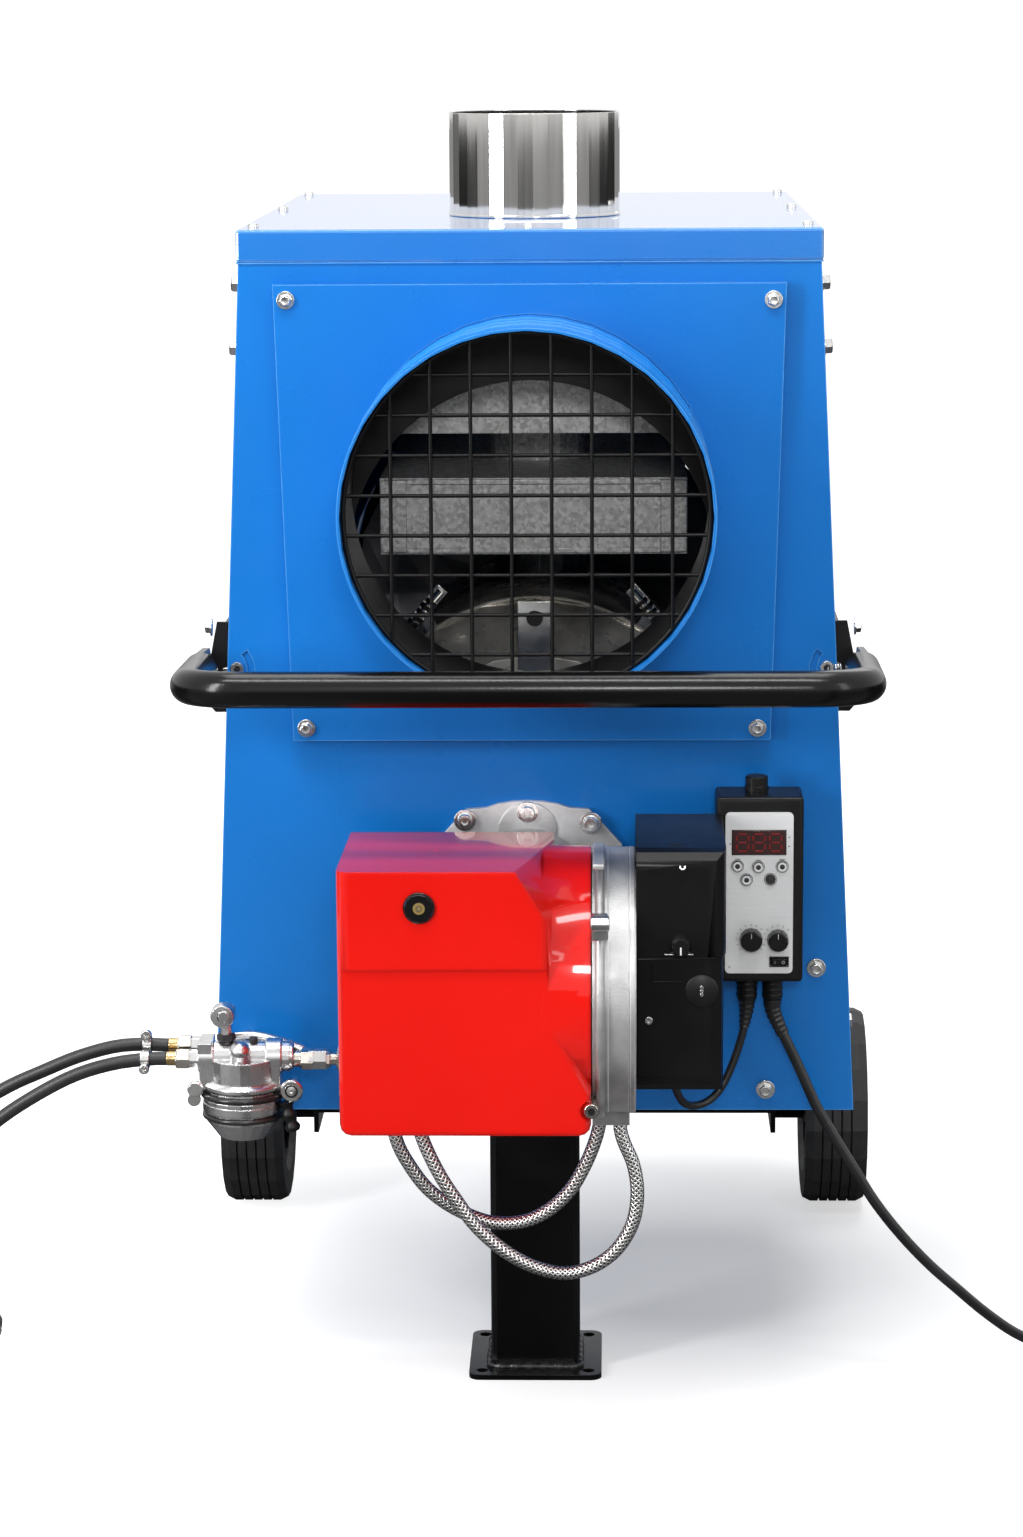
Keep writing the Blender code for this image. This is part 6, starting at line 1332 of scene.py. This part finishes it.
# ---------------------------------------------------------------- oil filter
def build_filter():
    x, y = -0.2535, -0.06
    piece = Piece("filter_collars", "smooth_cast")
    for low, high, radius in (
        (-0.2925, -0.278, 0.0152), (-0.2335, -0.2185, 0.0162), (-0.2185, -0.2085, 0.0118)
    ):
        profile = [
            (0.01, 0.0), (radius - 0.001, 0.0), (radius, 0.001), (radius, high - low - 0.001),
            (radius - 0.001, high - low), (0.01, high - low),
        ]
        piece.lathe(profile, at(low, y, 0.316), RIGHT, 0, 40)
    for px in (-0.285, -0.2262):
        piece.block(at(px - 0.006, -0.0745, 0.289), at(px + 0.006, -0.0455, 0.316))
    piece.done(bevel=0.0022, segments=3)
    piece = Piece("filter_dome", "smooth_cast", "nickel", "print")
    rise = [(0.009 * cos(a), 0.029 + 0.0075 * sin(a)) for a in (0.0, 0.35, 0.7, 1.05, 1.35)]
    piece.lathe(
        [(0.01, 0.0), (0.009, 0.025)] + rise + [(0.0, 0.0366)], at(x - 0.001, y - 0.004, 0.302),
        Vector((0.0, -0.55, 0.84)).normalized(), 0, 32
    )
    piece.lathe(contour((0, 0), (40, 0), (40, 40), (30, 50), (0, 50)), at(-0.244, -0.062, 0.3285), UP, 2, 16)
    piece.done()
    piece = Piece("filter_rim", "smooth_cast")
    piece.lathe(
        contour((280, 0), (345, 0), (355, 12), (355, 42), (335, 62), (280, 75)),
        at(x, y, 0.289), UP, 0, 56,
    )
    piece.lathe(
        contour((330, 0), (362, 6), (362, 76), (330, 82)), at(x, y, 0.269), UP, 0, 56,
    )
    piece.done()
    piece = Piece("filter_rings", "seal")
    for level, radius, thick in ((0.2838, 0.0352, 0.0029), (0.265, 0.0342, 0.0026)):
        piece.tube(circle(at(x, y, level), radius, UP, 64), thick, sides=14, closed=True)
    piece.done()
    piece = Piece("filter_clamp", "zinc", "plastic", "print")
    place = at(-0.21, -0.074, 0.2895)
    piece.lathe(
        contour((0, -200), (60, -200), (60, 0), (100, 0), (100, 50), (88, 64), (58, 64)), place, FRONT, 0, 36
    )
    # The groove between rim and boss is dark print: painted shade in the recess
    piece.lathe(contour((58, 64), (58, 40), (42, 40)), place, FRONT, 2, 24)
    piece.lathe(contour((42, 40), (42, 62), (16, 66), (14, 50), (0, 50)), place, FRONT, 0, 24)
    piece.tube([at(-0.225, -0.064, 0.288), at(-0.208, -0.07, 0.289)], 0.0048, 0, sides=16)
    grip = [
        at(-0.215, -0.076, 0.279), at(-0.2135, -0.0765, 0.271), at(-0.211, -0.077, 0.262),
        at(-0.209, -0.077, 0.2535)
    ]
    grip = smooth_route(grip, 0.002)
    piece.tube(grip, [0.0058 + 0.0012 * cos(k * 1.1) for k in range(len(grip))], 1, sides=18)
    screw = at(-0.2925, -0.069, 0.2885)
    piece.tube([at(-0.285, -0.064, 0.287), screw], 0.004, 0, sides=14)
    piece.lathe(
        contour((0, 0), (72, 0), (72, 40), (60, 52), (0, 52)), at(-0.2945, -0.072, 0.29), FRONT, 0, 24
    )
    piece.lathe(disc(0.0058, 0.0034), at(-0.296, -0.071, 0.28), FRONT, 0, 24)
    piece.done()
    piece = Piece("outlet_fitting", "nickel", "seal")
    line = at(0.0, y, 0.3135)
    start = Vector((-0.2085, line.y, line.z))
    for along, length, flats, round_part in (
        (0.0, 0.0055, 0.0, 0.0072), (0.0055, 0.012, 0.0165, 0.0), (0.0175, 0.0085, 0.0, 0.006),
        (0.026, 0.006, 0.0135, 0.0),
        (0.032, 0.005, 0.0, 0.0055), (0.037, 0.0075, 0.018, 0.0),
    ):
        place = start + Vector((along, 0.0, 0.0))
        if flats:
            nut(piece, place, RIGHT, flats, length, 0, 0.1 + along * 9)
        else:
            piece.lathe(disc(round_part, length), place, RIGHT, 0, 28)
    piece.lathe(
        contour((50, 0), (105, 0), (105, 30), (50, 30)), start + Vector((0.0435, 0.0, 0.0)), RIGHT, 1, 24
    )
    piece.done()
    piece = Piece("hose_tails", "brass", "nickel", "smooth_cast")
    for ty, tz in ((-0.047, 0.3223), (-0.066, 0.3153)):
        tail = at(-0.311, ty, tz)
        piece.lathe(
            contour((0, 0), (60, 0), (62, 10), (62, 85), (56, 92), (0, 92)),
            tail + Vector((-0.0002, 0.0, 0.0)), LEFT, 0, 24,
        )
        nut(piece, at(-0.2995, ty, tz), LEFT, 0.0164, 0.012, 1, 0.15)
    piece.done()
    piece = Piece("hose_clip", "zinc")
    for ty, tz in ((-0.047, 0.3231), (-0.066, 0.3146)):
        piece.lathe(
            contour((61, 0), (78, 3), (78, 77), (61, 80)), at(-0.335, ty, tz), LEFT, 0, 32,
        )
    piece.tube([at(-0.339, -0.0505, 0.3325), at(-0.339, -0.05, 0.329)], 0.004, 0, sides=12)
    cap_screw(piece, at(-0.339, -0.053, 0.3335), FRONT, 0.005, 0.005, 0)
    cap_screw(piece, at(-0.339, -0.074, 0.3085), FRONT, 0.0046, 0.0044, 0)
    piece.block(at(-0.3415, -0.074, 0.3065), at(-0.3365, -0.064, 0.3105))
    piece.done(bevel=0.0004)
    piece = Piece("cock_head", "smooth_cast", "print")
    place = at(-0.2695, -0.078, 0.356)
    piece.lathe(
        contour((0, -160), (85, -160), (105, -110), (105, -20), (95, 0), (45, 4)), place, FRONT, 0, 32,
    )
    # The socket in the head is dark print: painted shade in its recess
    piece.lathe(contour((45, 4), (40, -30), (0, -30)), place, FRONT, 1, 6)
    piece.done("cock")
    piece = Piece("cock_nut", "print")
    nut(piece, at(-0.268, y, 0.3304), UP, 0.0145, 0.006, 0, 0.2, chamfer=0.0008, share=0.9)
    piece.done("cock")
    piece = Piece("filter_studs", "smooth_cast")
    for k in range(8):
        spot = Vector((-0.238 + 0.0062 * k, -0.047, 0.3305 - 0.00033 * k * k))
        piece.lathe(contour((22, 0), (22, 14), (12, 20), (0, 20)), at(*spot), UP, 0, 12)
    run = [
        at(-0.264, -0.048, 0.33), at(-0.245, -0.048, 0.3312), at(-0.225, -0.048, 0.327),
        at(-0.202, -0.049, 0.319)
    ]
    piece.tube(smooth_route(run, 0.003), 0.0042, 0, sides=14)
    piece.done()


# ---------------------------------------------------------------- studio
FLOOR_SIZE = 40.0
FLOOR_TONES = (0.54, 0.56)
# How the floor looks in mirrors: dark near the object, turning pale between these distances in metres
MIRROR_TONES = (0.16, 0.95)
MIRROR_REACH = (2.6, 4.6)
# How brightly the floor glows for the camera: SHADE near this middle, rising to white between these
# distances; the dim spot is a painted shadow right of the leg, in which the real shadow shows too
PAINTED_SHADOW_MIDDLE = (0.14, 0.05, 0.0)
GLOW_REACH = (0.12, 0.6)
SHADE = 0.32
# Dark bands round the set that only mirrors see, as shares of a full turn: start, full, full, end
DARK_BANDS = (
    (0.1, 0.16, 0.24, 0.27), (0.462, 0.474, 0.506, 0.52), (0.588, 0.596, 0.612, 0.62),
    (0.735, 0.755, 0.86, 0.92),
)


def make_stage():
    """A pale floor whose glow is dimmed near the object, a painted shadow in which the real shadow shows too,
    and which turns white away from it.
    """
    n = Nodes("floor")
    spot = n.place()
    n.set(roughness=0.9, specular=0.0, emission=grey(1.0))
    path = n.add("ShaderNodeLightPath")
    pale = n.ramp(n.noise(1.5, 2.0), (0.3, grey(FLOOR_TONES[0])), (0.7, grey(FLOOR_TONES[1])))
    around = n.add("ShaderNodeVectorMath", operation="LENGTH")
    n.link(spot, around.inputs[0])
    outward = n.map(around.outputs["Value"], 0.0, 1.0, *MIRROR_REACH)
    mirrored = n.ramp(outward, (0.0, grey(MIRROR_TONES[0])), (1.0, grey(MIRROR_TONES[1])))
    axes = n.add("ShaderNodeSeparateXYZ")
    n.link(spot, axes.inputs["Vector"])
    ahead = n.math("MULTIPLY", axes.outputs["Y"], -1.0)
    bearing = n.map(n.math("ARCTAN2", axes.outputs["X"], ahead), 0.0, 1.0, -pi, pi)
    black, white = grey(0.03), grey(1.0)
    stops = [stop for band in DARK_BANDS for stop in zip(band, (white, black, black, white))]
    shaded = n.mix(n.ramp(bearing, *stops), black, mirrored)
    n.color(n.mix(path.outputs["Is Glossy Ray"], pale, shaded))
    reach = n.add("ShaderNodeVectorMath", operation="LENGTH")
    shift = n.add("ShaderNodeVectorMath", operation="SUBTRACT")
    shift.inputs[1].default_value = PAINTED_SHADOW_MIDDLE
    n.link(spot, shift.inputs[0])
    n.link(shift.outputs["Vector"], reach.inputs[0])
    away = n.map(reach.outputs["Value"], SHADE, 1.0, *GLOW_REACH)
    n.link(n.math("MULTIPLY", path.outputs["Is Camera Ray"], away), n.shader.inputs["Emission Strength"])
    bm = bmesh.new()
    bmesh.ops.create_grid(bm, x_segments=2, y_segments=2, size=FLOOR_SIZE)
    data = bpy.data.meshes.new("floor")
    bm.to_mesh(data)
    bm.free()
    data.materials.append(n.material)
    make_object("floor", data)


def make_world():
    """White behind the set; softer where it only lights or is mirrored."""
    world = bpy.data.worlds.new("studio")
    bpy.context.scene.world = world
    world.use_nodes = True
    tree = world.node_tree
    background = tree.nodes["Background"]
    background.inputs["Color"].default_value = (1.0, 1.0, 1.0, 1.0)
    path = tree.nodes.new("ShaderNodeLightPath")

    def level(source, low, high):
        node = tree.nodes.new("ShaderNodeMapRange")
        node.inputs["To Min"].default_value = low
        node.inputs["To Max"].default_value = high
        tree.links.new(source, node.inputs["Value"])
        return node.outputs["Result"]

    def larger(first, second):
        node = tree.nodes.new("ShaderNodeMath")
        node.operation = "MAXIMUM"
        tree.links.new(first, node.inputs[0])
        tree.links.new(second, node.inputs[1])
        return node.outputs["Value"]

    seen = larger(path.outputs["Is Camera Ray"], path.outputs["Is Transmission Ray"])
    strength = larger(level(seen, SHADE, 1.0), level(path.outputs["Is Glossy Ray"], SHADE, 0.95))
    tree.links.new(strength, background.inputs["Strength"])


def make_lamp(name, place, target, size, power):
    data = bpy.data.lights.new(name, "AREA")
    data.shape = "RECTANGLE"
    data.size, data.size_y = size
    data.energy = power
    lamp = make_object(name, data)
    lamp.location = place
    lamp.rotation_mode = "QUATERNION"
    lamp.rotation_quaternion = (Vector(target) - Vector(place)).to_track_quat("-Z", "Y")


# Name, place, what it points at, size and watts
LAMPS = (
    ("key", (-2.1, -1.9, 1.5), (0.0, -0.2, 0.6), (0.45, 2.0), 58.0),
    ("fill", (2.9, -2.2, 1.6), (0.0, -0.1, 0.5), (0.5, 2.0), 15.0),
    ("front", (0.2, -3.6, 1.7), (0.0, -0.1, 0.7), (0.4, 0.4), 22.0),
    ("strip", (-0.2, -1.25, 2.9), (0.0, -0.2, 0.5), (2.4, 0.3), 44.0),
    ("top", (0.0, 0.4, 3.4), (0.0, 0.1, 0.4), (2.2, 1.6), 52.0),
    ("rear", (0.5, 3.4, 2.6), (0.0, 0.3, 0.6), (2.2, 1.6), 16.0),
)

make_camera()
dress_nodes()
build_cords()
build_cabinet_bolts()
build_seams()
build_grille()
build_guard()
build_inside()
build_leg()
build_wheels()
build_handle_details()
build_burner_bolts()
build_housing_details()
build_case_details()
build_rounded()
build_controls()
build_filter()
make_stage()
make_world()
for lamp_values in LAMPS:
    make_lamp(*lamp_values)
bpy.context.scene.view_settings.view_transform = "Standard"
